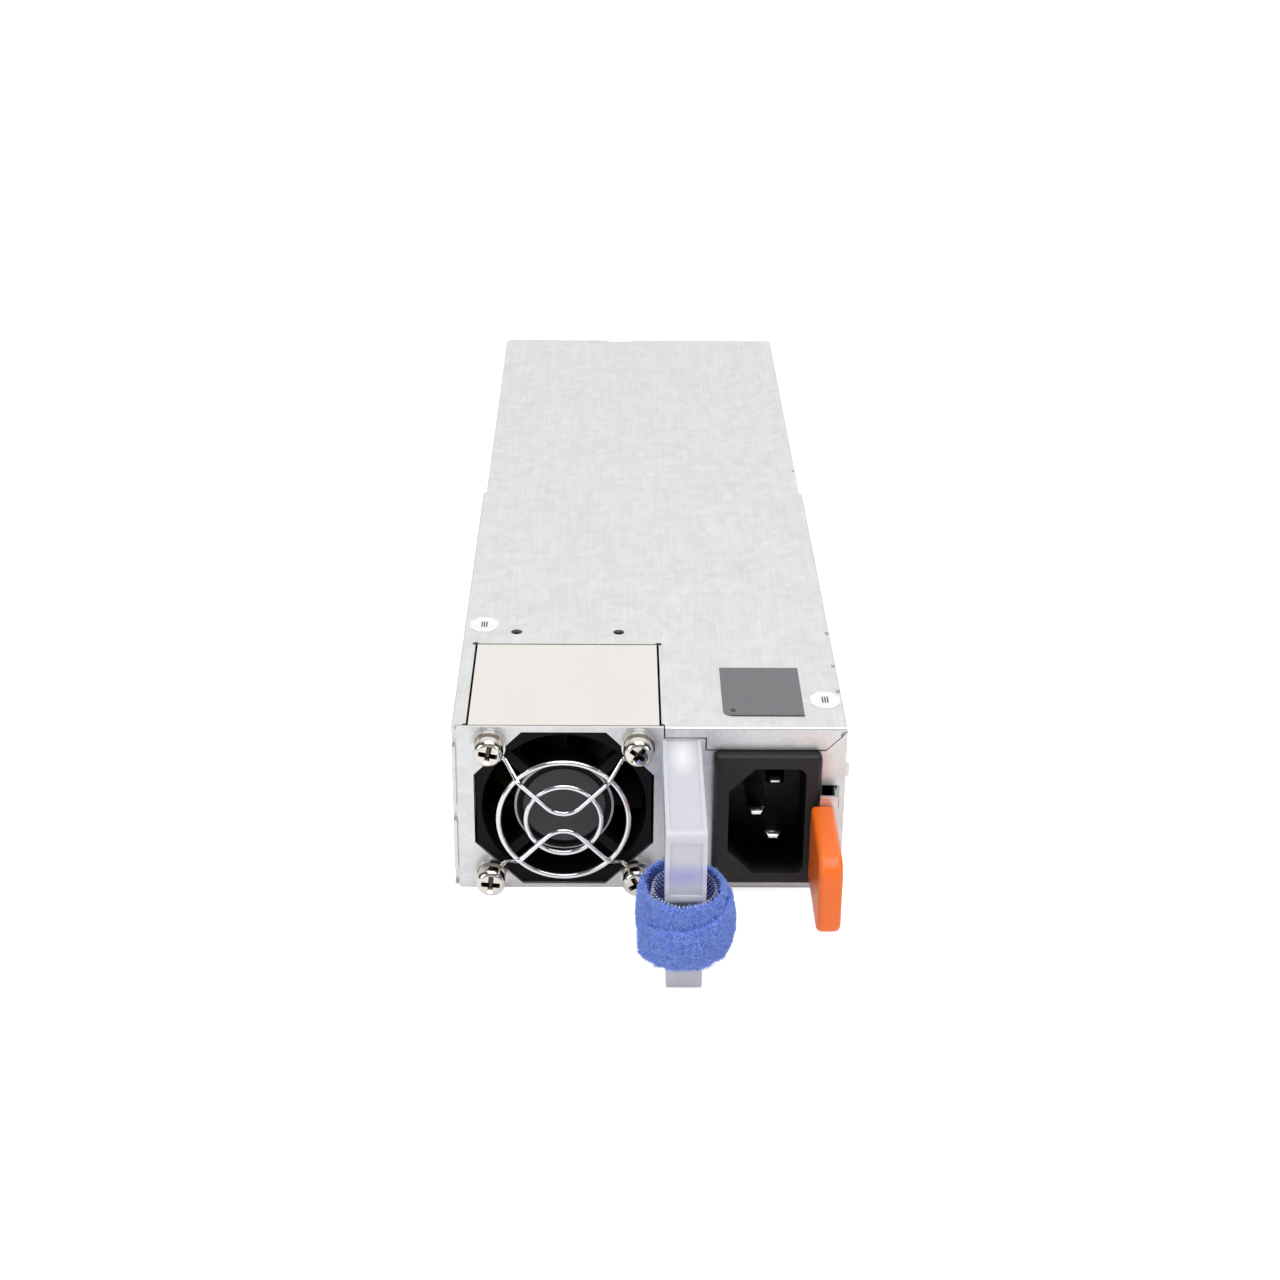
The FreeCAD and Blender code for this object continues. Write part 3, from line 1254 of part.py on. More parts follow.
# ---------------------------------------------------------------------------
# Main board and what it carries
# ---------------------------------------------------------------------------
BOARD_HALF = "(body_width/2 - 2*sheet_thickness - board_side_room)"
BOARD_BACK = "(body_length/2 - sheet_thickness - board_rear_room)"
TONGUE_BACK = "(body_length/2 + edge_reach)"
BOARD_FRONT_Y = behind("board_front")
BULK_X = "(bulk_inset - body_width/2)"
CARD_START = "(bulk_start + 2*bulk_length + 3*bulk_gap)"
CHOKE_X = "(body_width/2 - choke_inset)"
TRANSFORMER_X = "(body_width/2 - transformer_inset)"
TRANSFORMER_START = "(body_length - transformer_setback)"
SECONDARY_START = "(body_length - secondary_sink_setback)"


def on_board(label, x="0", depth="0", lift="0"):
    """A body whose local zero lies on the board's top, at a depth behind the front face."""
    return new_body(label, x, behind(depth), f"{BOARD_TOP} + {lift}")


def make_main_board():
    """Circuit board with a wing beside the fan and an edge connector through the rear panel."""
    body = new_body("main_board")
    outline = [(f"-{BOARD_HALF}", BOARD_FRONT_Y), (INLET_LEFT, BOARD_FRONT_Y),
               (INLET_LEFT, behind("board_wing_front")), (BOARD_HALF, behind("board_wing_front")),
               (BOARD_HALF, BOARD_BACK), ("edge_width/2", BOARD_BACK), ("edge_width/2", TONGUE_BACK),
               ("-edge_width/2", TONGUE_BACK), ("-edge_width/2", BOARD_BACK), (f"-{BOARD_HALF}", BOARD_BACK)]
    add(body, "XY_Plane", "board_bottom", BOARD_TOP, outline)
    cut(body, "XY_Plane", "board_bottom", BOARD_TOP, *[disc(x, y, "board_screw_radius") for x, y in STANDOFFS])
    return keep(body)


def make_gold_fingers():
    """Contact pads on both faces of the edge connector."""
    body = new_body("gold_fingers")
    count = int((value("edge_width") - 2 * value("finger_margin")) / value("finger_pitch")) + 1
    first = f"-finger_pitch*{(count - 1) / 2}"
    front, back = f"{TONGUE_BACK} - edge_room/2 - finger_length", f"{TONGUE_BACK} - edge_room/2"
    pads = []
    for start, end in (("board_bottom - finger_thickness", "board_bottom"),
                       (BOARD_TOP, f"{BOARD_TOP} + finger_thickness")):
        pads.append(add(body, "XY_Plane", start, end,
                        box(f"{first} - finger_width/2", front, f"{first} + finger_width/2", back)))
    pattern(body, pads, "X_Axis", "finger_pitch", count)
    return keep(body)


def make_insulation_film():
    """Yellow film that lines the tray's floor under the board."""
    body = new_body("insulation_film")
    add(body, "XY_Plane", "sheet_thickness", "sheet_thickness + film_thickness",
        box(f"-{TRAY_IN} + film_room", behind("board_front"), f"{TRAY_IN} - film_room",
            "body_length/2 - sheet_thickness - film_room"))
    cut(body, "XY_Plane", "sheet_thickness", "sheet_thickness + film_thickness",
        *[disc(x, y, "standoff_radius + film_thickness") for x, y in STANDOFFS])
    return keep(body)


HEXAGON = ((1, 0), (0.5, 0.866), (-0.5, 0.866), (-1, 0), (-0.5, -0.866), (0.5, -0.866))


def make_board_standoffs():
    """Threaded hexagonal posts riveted into the floor."""
    body = new_body("board_standoffs")
    for x, y in STANDOFFS:
        hexagon = [(f"{x} + standoff_radius*{across}", f"{y} + standoff_radius*{along_y}")
                   for across, along_y in HEXAGON]
        add(body, "XY_Plane", "sheet_thickness", "board_bottom", hexagon, disc(x, y, "board_screw_radius"))
    return keep(body)


def make_board_screws():
    body = new_body("board_screws")
    for x, y in STANDOFFS:
        add(body, "XY_Plane", f"{BOARD_TOP} - board_screw_length", BOARD_TOP, disc(x, y, "board_screw_radius"))
        add(body, "XY_Plane", BOARD_TOP, f"{BOARD_TOP} + board_screw_radius", disc(x, y, "board_screw_head"))
    return keep(body)


def make_bulk_capacitors():
    """Two large capacitors lying end to end on the left of the board."""
    body = on_board("bulk_capacitors", BULK_X, "bulk_start", "bulk_lift")
    for start in ("0", "bulk_length + bulk_gap"):
        add(body, "XZ_Plane", start, f"{start} + bulk_length", disc("0", "bulk_radius", "bulk_radius"))
        add(body, "XZ_Plane", f"{start} + bulk_rim", f"{start} + 2*bulk_rim",
            disc("0", "bulk_radius", "bulk_radius"))
    rims = ("bulk_rim", "bulk_length + bulk_gap + bulk_rim")
    for start in rims:
        cut(body, "XZ_Plane", start, f"{start} + bulk_rim", disc("0", "bulk_radius", "bulk_radius"),
            disc("0", "bulk_radius", "bulk_radius - bulk_lift"))
    for start in ("0", "bulk_length + bulk_gap"):
        add(body, "XY_Plane", "-bulk_lift", "bulk_rim",
            box("-bulk_rim", f"{start} + 3*bulk_rim", "bulk_rim", f"{start} + bulk_length - 3*bulk_rim"))
    return keep(body)


def make_choke_base():
    body = on_board("choke_base", CHOKE_X, "choke_start + choke_radius")
    half = "choke_radius + choke_base"
    add(body, "XY_Plane", "0", "choke_base", box(f"-({half})", f"-({half})", half, half))
    return keep(body)


def make_choke_core():
    """Toroid of the boost choke, lying flat."""
    body = on_board("choke_core", CHOKE_X, "choke_start + choke_radius", "choke_base + 2*coil_radius")
    add(body, "XY_Plane", "0", "choke_height - 2*coil_radius", disc("0", "0", "choke_radius - 2*coil_radius"),
        disc("0", "0", "choke_bore + 2*coil_radius + winding_gap/3"))
    return keep(body)


def make_choke_winding():
    """Turns of square-set wire round the toroid."""
    body = on_board("choke_winding", CHOKE_X, "choke_start + choke_radius", "choke_base")
    turn = add(body, "YZ_Plane", "-coil_radius", "coil_radius",
               box("choke_bore", "0", "choke_radius", "choke_height + 2*coil_radius"),
               box("choke_bore + 2*coil_radius", "2*coil_radius", "choke_radius - 2*coil_radius",
                   "choke_height"))
    around(body, [turn], "Z_Axis", int(value("coil_turns")))
    return keep(body)


def make_box_capacitors():
    """Two box capacitors across the line, beside the filter choke."""
    body = on_board("box_capacitors", "body_width/2 - film_cap_inset", "board_wing_front + lead_reach/2")
    for start in ("0", "film_cap_width + film_room"):
        add(body, "XY_Plane", "0", "film_cap_height",
            box(start, "0", f"{start} + film_cap_width", "film_cap_length"))
    dress(body, "Fillet", "film_room", lambda at, way: near(at.z, "film_cap_height"))
    return keep(body)


def make_filter_choke():
    """Common-mode choke: a closed core with two bobbins."""
    body = on_board("filter_choke", "body_width/2 - emi_inset - emi_width/2", "board_front + film_room")
    add(body, "XZ_Plane", "0", "emi_length", box("0", "0", "emi_width", "emi_height"))
    cut(body, "XZ_Plane", "0", "emi_length",
        box("emi_limb", "emi_limb", "emi_width - emi_limb", "emi_height - emi_limb"))
    dress(body, "Fillet", "film_room", lambda at, way: along(way, "y") and near(at.z, "emi_height"))
    return keep(body)


def make_disc_capacitors():
    """Three small disc capacitors, standing between the relay and the bulk capacitors."""
    body = on_board("disc_capacitors", "body_width/2 - relay_inset - 2.6*disc_cap_radius",
                    "board_front + relay_length + 2*disc_cap_thickness")
    first = add(body, "XZ_Plane", "0", "disc_cap_thickness", disc("0", "disc_cap_radius", "disc_cap_radius"))
    pattern(body, [first], "X_Axis", "2*disc_cap_radius + film_room", 2)
    return keep(body)


def make_fuse():
    """Cartridge fuse with metal end caps and bent leads."""
    body = on_board("fuse", "fuse_inset - body_width/2", "board_front + film_room")
    add(body, "XZ_Plane", "0", "fuse_length", disc("0", "fuse_radius + bulk_lift", "fuse_glass_radius"))
    for start, end in (("0", "fuse_length/4"), ("fuse_length*3/4", "fuse_length")):
        add(body, "XZ_Plane", start, end, disc("0", "fuse_radius + bulk_lift", "fuse_radius"))
        add(body, "XY_Plane", "0", "fuse_radius",
            box("-fuse_clip_width/2", f"{start} + fuse_clip_width", "fuse_clip_width/2",
                f"{end} - fuse_clip_width"))
    return keep(body)


def make_relay():
    body = on_board("relay", "body_width/2 - relay_inset - relay_width/2", "board_front + film_room")
    add(body, "XY_Plane", "0", "relay_height", box("0", "0", "relay_width", "relay_length"))
    dress(body, "Fillet", "bend_radius", lambda at, way: near(at.z, "relay_height"))
    return keep(body)


def make_transformer_core():
    """Pair of ferrite cores: a closed frame with a middle leg."""
    body = on_board("transformer_core", TRANSFORMER_X, TRANSFORMER_START, "choke_base")
    half = "transformer_width/2"
    add(body, "XZ_Plane", "core_back", "transformer_length - core_back",
        box(f"-{half}", "0", half, "transformer_height - choke_base"))
    window_top = "transformer_height - choke_base - core_leg"
    cut(body, "XZ_Plane", "core_back", "transformer_length - core_back",
        box(f"-{half} + core_leg", "core_leg", "-core_leg", window_top),
        box("core_leg", "core_leg", f"{half} - core_leg", window_top))
    return keep(body)


def make_transformer_winding():
    """Taped winding round the middle leg, standing out at both ends of the core."""
    body = on_board("transformer_winding", TRANSFORMER_X, TRANSFORMER_START, "choke_base")
    half = "transformer_width/2"
    bottom, top = "core_leg + winding_gap", "transformer_height - choke_base - core_leg - winding_gap"
    add(body, "XY_Plane", bottom, top,
        box(f"-{half} + core_leg + winding_gap", "0", f"{half} - core_leg - winding_gap", "transformer_length"))
    dress(body, "Fillet", "winding_rounding", lambda at, way: along(way, "z"))
    cut(body, "XY_Plane", bottom, top,
        box("-core_leg - winding_gap", "core_back - winding_gap", "core_leg + winding_gap",
            "transformer_length - core_back + winding_gap"))
    # moulded feet of the bobbin
    for y0, y1 in (("0", "core_back - winding_gap"), ("transformer_length - core_back + winding_gap",
                                                     "transformer_length")):
        add(body, "XY_Plane", "-choke_base", bottom,
            box(f"-{half}/2", y0, f"{half}/2", y1))
    return keep(body)


def make_resonant_inductor():
    body = on_board("resonant_inductor", f"{TRANSFORMER_X} - inductor_size/2",
                    f"{TRANSFORMER_START} - inductor_size - bulk_gap")
    add(body, "XY_Plane", "0", "inductor_size", box("0", "0", "inductor_size", "inductor_size"))
    top = "inductor_window_bottom + inductor_window_height"
    cut(body, "XZ_Plane", "0", "inductor_size",
        box("inductor_limb", "inductor_window_bottom", "inductor_limb + inductor_window", top),
        box("inductor_size - inductor_limb - inductor_window", "inductor_window_bottom",
            "inductor_size - inductor_limb", top))
    return keep(body)


def make_heatsink(label, start):
    """Extruded upright plate with fins along one side."""
    body = on_board(label, "0", start)
    add(body, "YZ_Plane", "-sink_thickness", "0", box("0", "0", "sink_length", "sink_height"))
    count = int(value("sink_height") / value("sink_fin_pitch"))
    fin = add(body, "YZ_Plane", "-sink_thickness - sink_fin_reach", "-sink_thickness",
              box("0", "sink_fin_pitch - sink_fin_thickness", "sink_length", "sink_fin_pitch"))
    pattern(body, [fin], "Z_Axis", "sink_fin_pitch", count)
    return keep(body)


def make_power_transistors():
    """Flat packages clipped in a row to the primary heatsink."""
    body = on_board("power_transistors", "pad_thickness", "primary_sink_start + bulk_gap/2", "bulk_gap")
    first = add(body, "YZ_Plane", "0", "package_thickness", box("0", "0", "package_width", "package_height"))
    tab = add(body, "YZ_Plane", "package_thickness/4", "package_thickness/2",
              box("package_width/3", "-bulk_gap", "package_width*2/3", "0"))
    pattern(body, [first, tab], "Y_Axis", "package_pitch", 3)
    return keep(body)


def make_thermal_pads():
    body = on_board("thermal_pads", "0", "primary_sink_start + bulk_gap/2", "bulk_gap")
    first = add(body, "YZ_Plane", "0", "pad_thickness", box("0", "0", "package_width", "package_height"))
    pattern(body, [first], "Y_Axis", "package_pitch", 3)
    return keep(body)


def make_output_capacitors():
    """Two rows of upright capacitors near the edge connector."""
    body = on_board("output_capacitors", "output_cap_pitch", f"{SECONDARY_START} + output_cap_pitch")
    first = add(body, "XY_Plane", "0", "output_cap_height", disc("0", "0", "output_cap_radius"))
    pattern(body, [first], "X_Axis", "output_cap_pitch", 3, "Y_Axis", "output_cap_pitch", 3)
    return keep(body)


def make_control_card():
    """Upright card on the left with its controller chips."""
    body = on_board("control_card", BULK_X, CARD_START)
    add(body, "YZ_Plane", "0", "card_thickness", box("0", "0", "card_length", "card_height"))
    chip = add(body, "YZ_Plane", "card_thickness", "card_thickness + chip_height",
               box("chip_size/2", "card_height/2 - chip_size/2", "chip_size*3/2", "card_height/2 + chip_size/2"))
    pattern(body, [chip], "Y_Axis", "chip_size*2", 4)
    return keep(body)


LEAD_BEND = 0.7
FAN_LEAD_BEND = 0.42


def lead(label, points, radius, bend):
    """A sleeved wire: straight runs joined by large arcs."""
    piece = doc.addObject("Part::Feature", "".join(word.title() for word in label.split("_")))
    piece.Label = label
    corners = [Vector(*(value(number) for number in point)) for point in points]
    bends = []
    for before, corner, after in zip(corners, corners[1:], corners[2:]):
        turn = math.pi - (before - corner).getAngle(after - corner)
        shorter = min((before - corner).Length, (after - corner).Length)
        bends.append(bend * shorter / math.tan(turn / 2))
    piece.Shape = bent_wire(corners, bends, value(radius))
    piece.Placement = Placement()
    return keep(piece)


def make_fan_lead():
    """Sleeved lead from the fan's rear corner down to its connector."""
    x = f"{FAN_X} + fan_pitch/2"
    top = "body_height*3/4"
    fan_back = f"{PANEL_BACK} + fan_depth"
    plug_y = f"{BOARD_FRONT_Y} + connector_inset"
    points = [(x, fan_back, top), (x, f"{fan_back} + lead_reach/2", top),
              (x, plug_y, f"{top} - lead_reach/2"),
              (x, plug_y, f"{BOARD_TOP} + connector_height")]
    return lead("fan_lead", points, "lead_radius", FAN_LEAD_BEND)


def make_fan_connector():
    """Header and plug where the fan's lead meets the board."""
    body = new_body("fan_connector", f"{FAN_X} + fan_pitch/2", f"{BOARD_FRONT_Y} + connector_inset", BOARD_TOP)
    add(body, "XY_Plane", "0", "connector_height*2/3",
        box("-connector_height", "-connector_inset/2", "connector_height", "connector_inset/2"))
    add(body, "XY_Plane", "connector_height*2/3", "connector_height",
        box("-connector_height*3/4", "-connector_inset/3", "connector_height*3/4", "connector_inset/3"))
    return keep(body)


def make_inlet_leads():
    """Three short sleeved leads from the inlet board to the main board."""
    leads = doc.addObject("Part::Feature", "InletLeads")
    leads.Label = "inlet_leads"
    start_y = behind("inlet_body_depth + inlet_board_thickness")
    end_y = behind("board_wing_front + lead_reach/3")
    shapes = []
    for shift in ("-lead_spacing", "0", "lead_spacing"):
        x = value(f"{INLET_RIGHT} - lead_spacing*2 + {shift}")
        points = [Vector(x, value(start_y), value(f"{BOARD_TOP} + lead_reach")),
                  Vector(x, value(end_y), value(f"{BOARD_TOP} + lead_reach")),
                  Vector(x, value(end_y), value(BOARD_TOP))]
        shorter = min((points[0] - points[1]).Length, (points[1] - points[2]).Length)
        shapes.append(bent_wire(points, [shorter * LEAD_BEND], value("lead_wire_radius")))
    leads.Shape = Part.makeCompound(shapes)
    leads.Placement = Placement()
    return keep(leads)


# ---------------------------------------------------------------------------
# Build, check and write every piece
# ---------------------------------------------------------------------------
make_base_tray()
make_top_cover()
make_front_panel()
make_rear_panel()
make_fan_bracket()
make_cover_screws()
make_fan_frame()
make_fan_motor_base()
make_fan_bearings()
make_fan_shaft()
make_fan_rotor()
make_fan_magnet()
make_fan_stator()
make_fan_circuit_board()
make_hub_label()
make_fan_guard()
make_guard_screws()
make_washers("flat_washers", "flat_washer_radius", "2*wire_radius", WASHER_FRONT)
make_washers("spring_washers", "spring_washer_radius", WASHER_FRONT, SPRING_FRONT)
make_pull_handle()
make_cord_strap()
make_latch_spring()
make_latch_rivets()
make_latch_tab()
make_inlet_body()
make_pins("line_pins", PIN_X, (f"{INLET_Z} + pin_pitch/2", f"{INLET_Z} - pin_pitch/2"), "pin_recess")
make_pins("earth_pin", EARTH_X, (INLET_Z,), "earth_recess")
make_inlet_board()
make_status_led()
make_top_label()
make_inspection_dots()
make_main_board()
make_gold_fingers()
make_insulation_film()
make_board_standoffs()
make_board_screws()
make_bulk_capacitors()
make_choke_base()
make_choke_core()
make_choke_winding()
make_box_capacitors()
make_filter_choke()
make_disc_capacitors()
make_fuse()
make_relay()
make_transformer_core()
make_transformer_winding()
make_resonant_inductor()
make_heatsink("primary_heatsink", "primary_sink_start")
make_heatsink("secondary_heatsink", SECONDARY_START)
make_power_transistors()
make_thermal_pads()
make_output_capacitors()
make_control_card()
make_fan_lead()
make_fan_connector()
make_inlet_leads()

doc.recompute()
for item in doc.Objects:
    assert "Invalid" not in item.State and "Error" not in item.State, f"{item.Label} is {item.State}"
for piece in PIECES:
    assert not piece.Shape.isNull() and piece.Shape.isValid(), f"{piece.Label} has no valid shape"
for piece in PIECES:
    piece.Shape.exportStep(f"parts/{piece.Label}.step")
print(len(PIECES), "pieces written")
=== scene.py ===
# %% [markdown]
# A hot swap power supply for a server: a flat steel box with a fan behind a wire guard, a mains inlet,
# a clear pull handle with a rolled strap on it, and an orange release tab. The measured solids come first,
# as a fixed frame. Everything here is fitted round them in the same metres.
# %% Load the frame
import json
import math
import random

import bpy
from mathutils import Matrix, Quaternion, Vector
from mathutils.bvhtree import BVHTree


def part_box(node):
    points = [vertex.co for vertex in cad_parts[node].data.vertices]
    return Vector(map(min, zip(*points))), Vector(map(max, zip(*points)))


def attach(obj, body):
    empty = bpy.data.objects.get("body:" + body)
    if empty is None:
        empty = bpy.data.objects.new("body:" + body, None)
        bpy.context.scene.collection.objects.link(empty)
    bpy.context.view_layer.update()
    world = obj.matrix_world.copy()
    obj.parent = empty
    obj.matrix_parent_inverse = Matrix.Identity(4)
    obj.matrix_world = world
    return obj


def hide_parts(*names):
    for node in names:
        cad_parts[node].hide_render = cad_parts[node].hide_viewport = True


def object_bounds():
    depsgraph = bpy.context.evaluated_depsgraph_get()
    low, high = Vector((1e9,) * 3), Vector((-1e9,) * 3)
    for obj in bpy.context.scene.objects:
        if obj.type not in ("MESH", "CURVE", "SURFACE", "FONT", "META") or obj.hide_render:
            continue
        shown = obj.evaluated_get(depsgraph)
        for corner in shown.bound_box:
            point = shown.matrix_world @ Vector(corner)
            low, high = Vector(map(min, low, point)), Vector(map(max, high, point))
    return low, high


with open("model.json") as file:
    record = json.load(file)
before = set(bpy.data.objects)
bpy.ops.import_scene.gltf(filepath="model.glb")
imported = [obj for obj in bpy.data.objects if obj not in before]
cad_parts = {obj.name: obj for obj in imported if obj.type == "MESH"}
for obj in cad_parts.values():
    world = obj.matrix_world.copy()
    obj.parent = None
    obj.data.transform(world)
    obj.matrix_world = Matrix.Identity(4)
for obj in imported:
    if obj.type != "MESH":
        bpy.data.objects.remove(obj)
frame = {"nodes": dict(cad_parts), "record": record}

MM = 0.001
cad_low, cad_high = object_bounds()
front_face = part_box("front_panel")[0].y
print("box of the solids in mm:", [round(side / MM, 1) for side in cad_high - cad_low])

# %% [markdown]
# The camera stands in front of the object and looks down on it, so that the roof and the front are both
# seen. A long lens keeps the sides nearly parallel. Its place is given from the front face, and its turn
# as three plain angles: down, sideways and round its own axis.
# %% Camera
CAMERA_PLACE = Vector((-8.28 * MM, front_face - 436.95 * MM, 268.62 * MM))
LOOK_DOWN = math.radians(25.44)
LOOK_ASIDE = math.radians(0.79)
ROLL = math.radians(0.57)
LENS = 64.885
SENSOR = 36

forward = Vector((math.sin(LOOK_ASIDE) * math.cos(LOOK_DOWN), math.cos(LOOK_ASIDE) * math.cos(LOOK_DOWN),
                  -math.sin(LOOK_DOWN)))
bpy.ops.object.camera_add(location=CAMERA_PLACE)
camera = bpy.context.object
camera.name = "front_camera"
camera.rotation_mode = "QUATERNION"
camera.rotation_quaternion = forward.to_track_quat("-Z", "Y") @ Quaternion((0, 0, 1), ROLL)
camera.data.lens = LENS
camera.data.sensor_width = SENSOR
camera.data.clip_start = 0.01
bpy.context.scene.camera = camera
bpy.context.scene.view_settings.view_transform = "Standard"
print("camera", round((CAMERA_PLACE - Vector((0, front_face, 0))).length, 3), "m from the front edge")

# %% [markdown]
# Bare metal shows its surroundings more than itself. A studio for metal is a white tent with something
# dark on the camera's side: the tent makes the sheet pale, and the dark side draws the thin dark
# lines that make chrome wire read as chrome. The world gives both, from the ray's own direction.
# %% World
scene = bpy.context.scene
world = bpy.data.worlds.new("studio_tent")
world.use_nodes = True
scene.world = world
tent = world.node_tree
tent.nodes.clear()


def node(tree, kind, **settings):
    """A shader node with its settings and the values of its sockets."""
    made = tree.nodes.new(kind)
    for name, value in settings.items():
        if name.startswith("in_"):
            key = name[3:]
            made.inputs[int(key) if key.isdigit() else key.replace("_", " ")].default_value = value
        else:
            setattr(made, name, value)
    return made


def join(tree, source, target):
    """A link from one socket to another, each given as (node, name or number)."""
    tree.links.new(source[0].outputs[source[1]], target[0].inputs[target[1]])


def ramp(tree, stops, **settings):
    """A colour ramp with the given (place, colour) stops."""
    made = node(tree, "ShaderNodeValToRGB", **settings)
    elements = made.color_ramp.elements
    while len(elements) < len(stops):
        elements.new(0.5)
    for element, (place, colour) in zip(elements, stops):
        element.position = place
        element.color = (*colour, 1) if len(colour) == 3 else colour
    return made


SEEN_LIGHT = 1.0
FILL_LIGHT = 0.40
FLANK_START, FLANK_END, FLANK_LIGHT = 0.50, 0.80, 0.25
direction = node(tent, "ShaderNodeTexCoord")
parts_of_ray = node(tent, "ShaderNodeSeparateXYZ")
towards_front = node(tent, "ShaderNodeMapRange", in_1=-1.0, in_2=1.0, in_3=0.0, in_4=1.0)
panels = ramp(tent, [(0.0, (0.42, 0.42, 0.43)), (0.22, (0.10, 0.10, 0.105)), (0.50, (0.16, 0.16, 0.165)),
                     (0.66, (0.84, 0.84, 0.85)), (1.0, (1.08, 1.08, 1.08))])
light_path = node(tent, "ShaderNodeLightPath")
seen = node(tent, "ShaderNodeMath", operation="MAXIMUM")
mirrored = node(tent, "ShaderNodeBackground", in_1=SEEN_LIGHT)
plain_white = node(tent, "ShaderNodeBackground", in_0=(1, 1, 1, 1), in_1=SEEN_LIGHT)
fill = node(tent, "ShaderNodeBackground", in_0=(0.97, 0.98, 1.0, 1), in_1=FILL_LIGHT)
camera_or_mirror = node(tent, "ShaderNodeMixShader")
any_ray = node(tent, "ShaderNodeMixShader")
world_out = node(tent, "ShaderNodeOutputWorld")
join(tent, (direction, "Generated"), (parts_of_ray, 0))
join(tent, (parts_of_ray, "Y"), (towards_front, 0))
join(tent, (towards_front, 0), (panels, 0))
sideways = node(tent, "ShaderNodeMath", operation="ABSOLUTE")
dark_flanks = node(tent, "ShaderNodeMapRange", in_1=FLANK_START, in_2=FLANK_END, in_3=1.0,
                   in_4=FLANK_LIGHT)
flanked = node(tent, "ShaderNodeMix", data_type="RGBA", blend_type="MULTIPLY", in_0=1.0)
join(tent, (parts_of_ray, "X"), (sideways, 0))
join(tent, (sideways, 0), (dark_flanks, 0))
join(tent, (panels, 0), (flanked, 6))
join(tent, (dark_flanks, 0), (flanked, 7))
join(tent, (flanked, 2), (mirrored, 0))
join(tent, (light_path, "Is Glossy Ray"), (seen, 0))
join(tent, (light_path, "Is Transmission Ray"), (seen, 1))
join(tent, (seen, 0), (any_ray, 0))
join(tent, (light_path, "Is Camera Ray"), (camera_or_mirror, 0))
join(tent, (fill, 0), (any_ray, 1))
join(tent, (mirrored, 0), (any_ray, 2))
join(tent, (any_ray, 0), (camera_or_mirror, 1))
join(tent, (plain_white, 0), (camera_or_mirror, 2))
join(tent, (camera_or_mirror, 0), (world_out, 0))

# %% [markdown]
# Three soft lamps do the rest. The large one overhead models the roof and the strap, one on the left
# lights the front plate, and a weaker one on the right keeps the orange tab from going dark. They are
# large for their distance, so shadows are soft.
# %% Lamps
LAMPS = {
    "overhead": ((0.05, front_face - 0.12, 0.75), (0, front_face + 0.06, 0.02), 0.7, 4.5),
    "left_bank": ((-0.75, front_face - 0.55, 0.35), (0, front_face, 0.02), 0.5, 2.0),
    "right_bank": ((0.70, front_face - 0.60, 0.30), (0, front_face, 0.02), 0.4, 1.2),
}
for name, (place, target, size, power) in LAMPS.items():
    bpy.ops.object.light_add(type="AREA", location=place)
    lamp = bpy.context.object
    lamp.name = name
    lamp.data.size = size
    lamp.data.energy = power
    lamp.rotation_euler = (Vector(target) - Vector(place)).to_track_quat("-Z", "Y").to_euler()
print(len(LAMPS), "lamps")

# %% [markdown]
# The floor is one large pale sheet. It is lit like any paper, so the object keeps a soft shadow, and a
# little light of its own for the camera and for mirrors brings its bright part up to white.
# %% Floor
FLOOR_GLOW = 0.75
MIRRORED_GLOW = 0.12
FLOOR_SIDE = 6
FLOOR_DROP = 0.02 * MM
bpy.ops.mesh.primitive_plane_add(size=FLOOR_SIDE, location=(0, 0, cad_low.z - FLOOR_DROP))
floor = bpy.context.object
floor.name = "floor"
paper = bpy.data.materials.new("floor_paper")
paper.use_nodes = True
sheet = paper.node_tree
sheet.nodes.clear()
sheet_light = node(sheet, "ShaderNodeLightPath")
eye = node(sheet, "ShaderNodeMath", operation="MAXIMUM")
eye_power = node(sheet, "ShaderNodeMath", operation="MULTIPLY", in_1=FLOOR_GLOW)
mirror_power = node(sheet, "ShaderNodeMath", operation="MULTIPLY", in_1=MIRRORED_GLOW)
glow_power = node(sheet, "ShaderNodeMath", operation="MAXIMUM")
glow = node(sheet, "ShaderNodeEmission", in_0=(1, 1, 1, 1))
matt = node(sheet, "ShaderNodeBsdfDiffuse", in_0=(0.93, 0.93, 0.94, 1))
both = node(sheet, "ShaderNodeAddShader")
sheet_out = node(sheet, "ShaderNodeOutputMaterial")
join(sheet, (sheet_light, "Is Camera Ray"), (eye, 0))
join(sheet, (sheet_light, "Is Transmission Ray"), (eye, 1))
join(sheet, (eye, 0), (eye_power, 0))
join(sheet, (sheet_light, "Is Glossy Ray"), (mirror_power, 0))
join(sheet, (eye_power, 0), (glow_power, 0))
join(sheet, (mirror_power, 0), (glow_power, 1))
join(sheet, (glow_power, 0), (glow, 1))
join(sheet, (matt, 0), (both, 0))
join(sheet, (glow, 0), (both, 1))
join(sheet, (both, 0), (sheet_out, 0))
floor.data.materials.append(paper)

# %% [markdown]
# Every finish starts from one recipe: a principled shader whose colour and roughness wander a little
# with noise, and a fine bump. No real surface is one flat number, and the wandering is what stops a
# render from looking like plastic toys. The noise is measured in millimetres on the object itself.
# %% The basic finish
FINISHES = {}


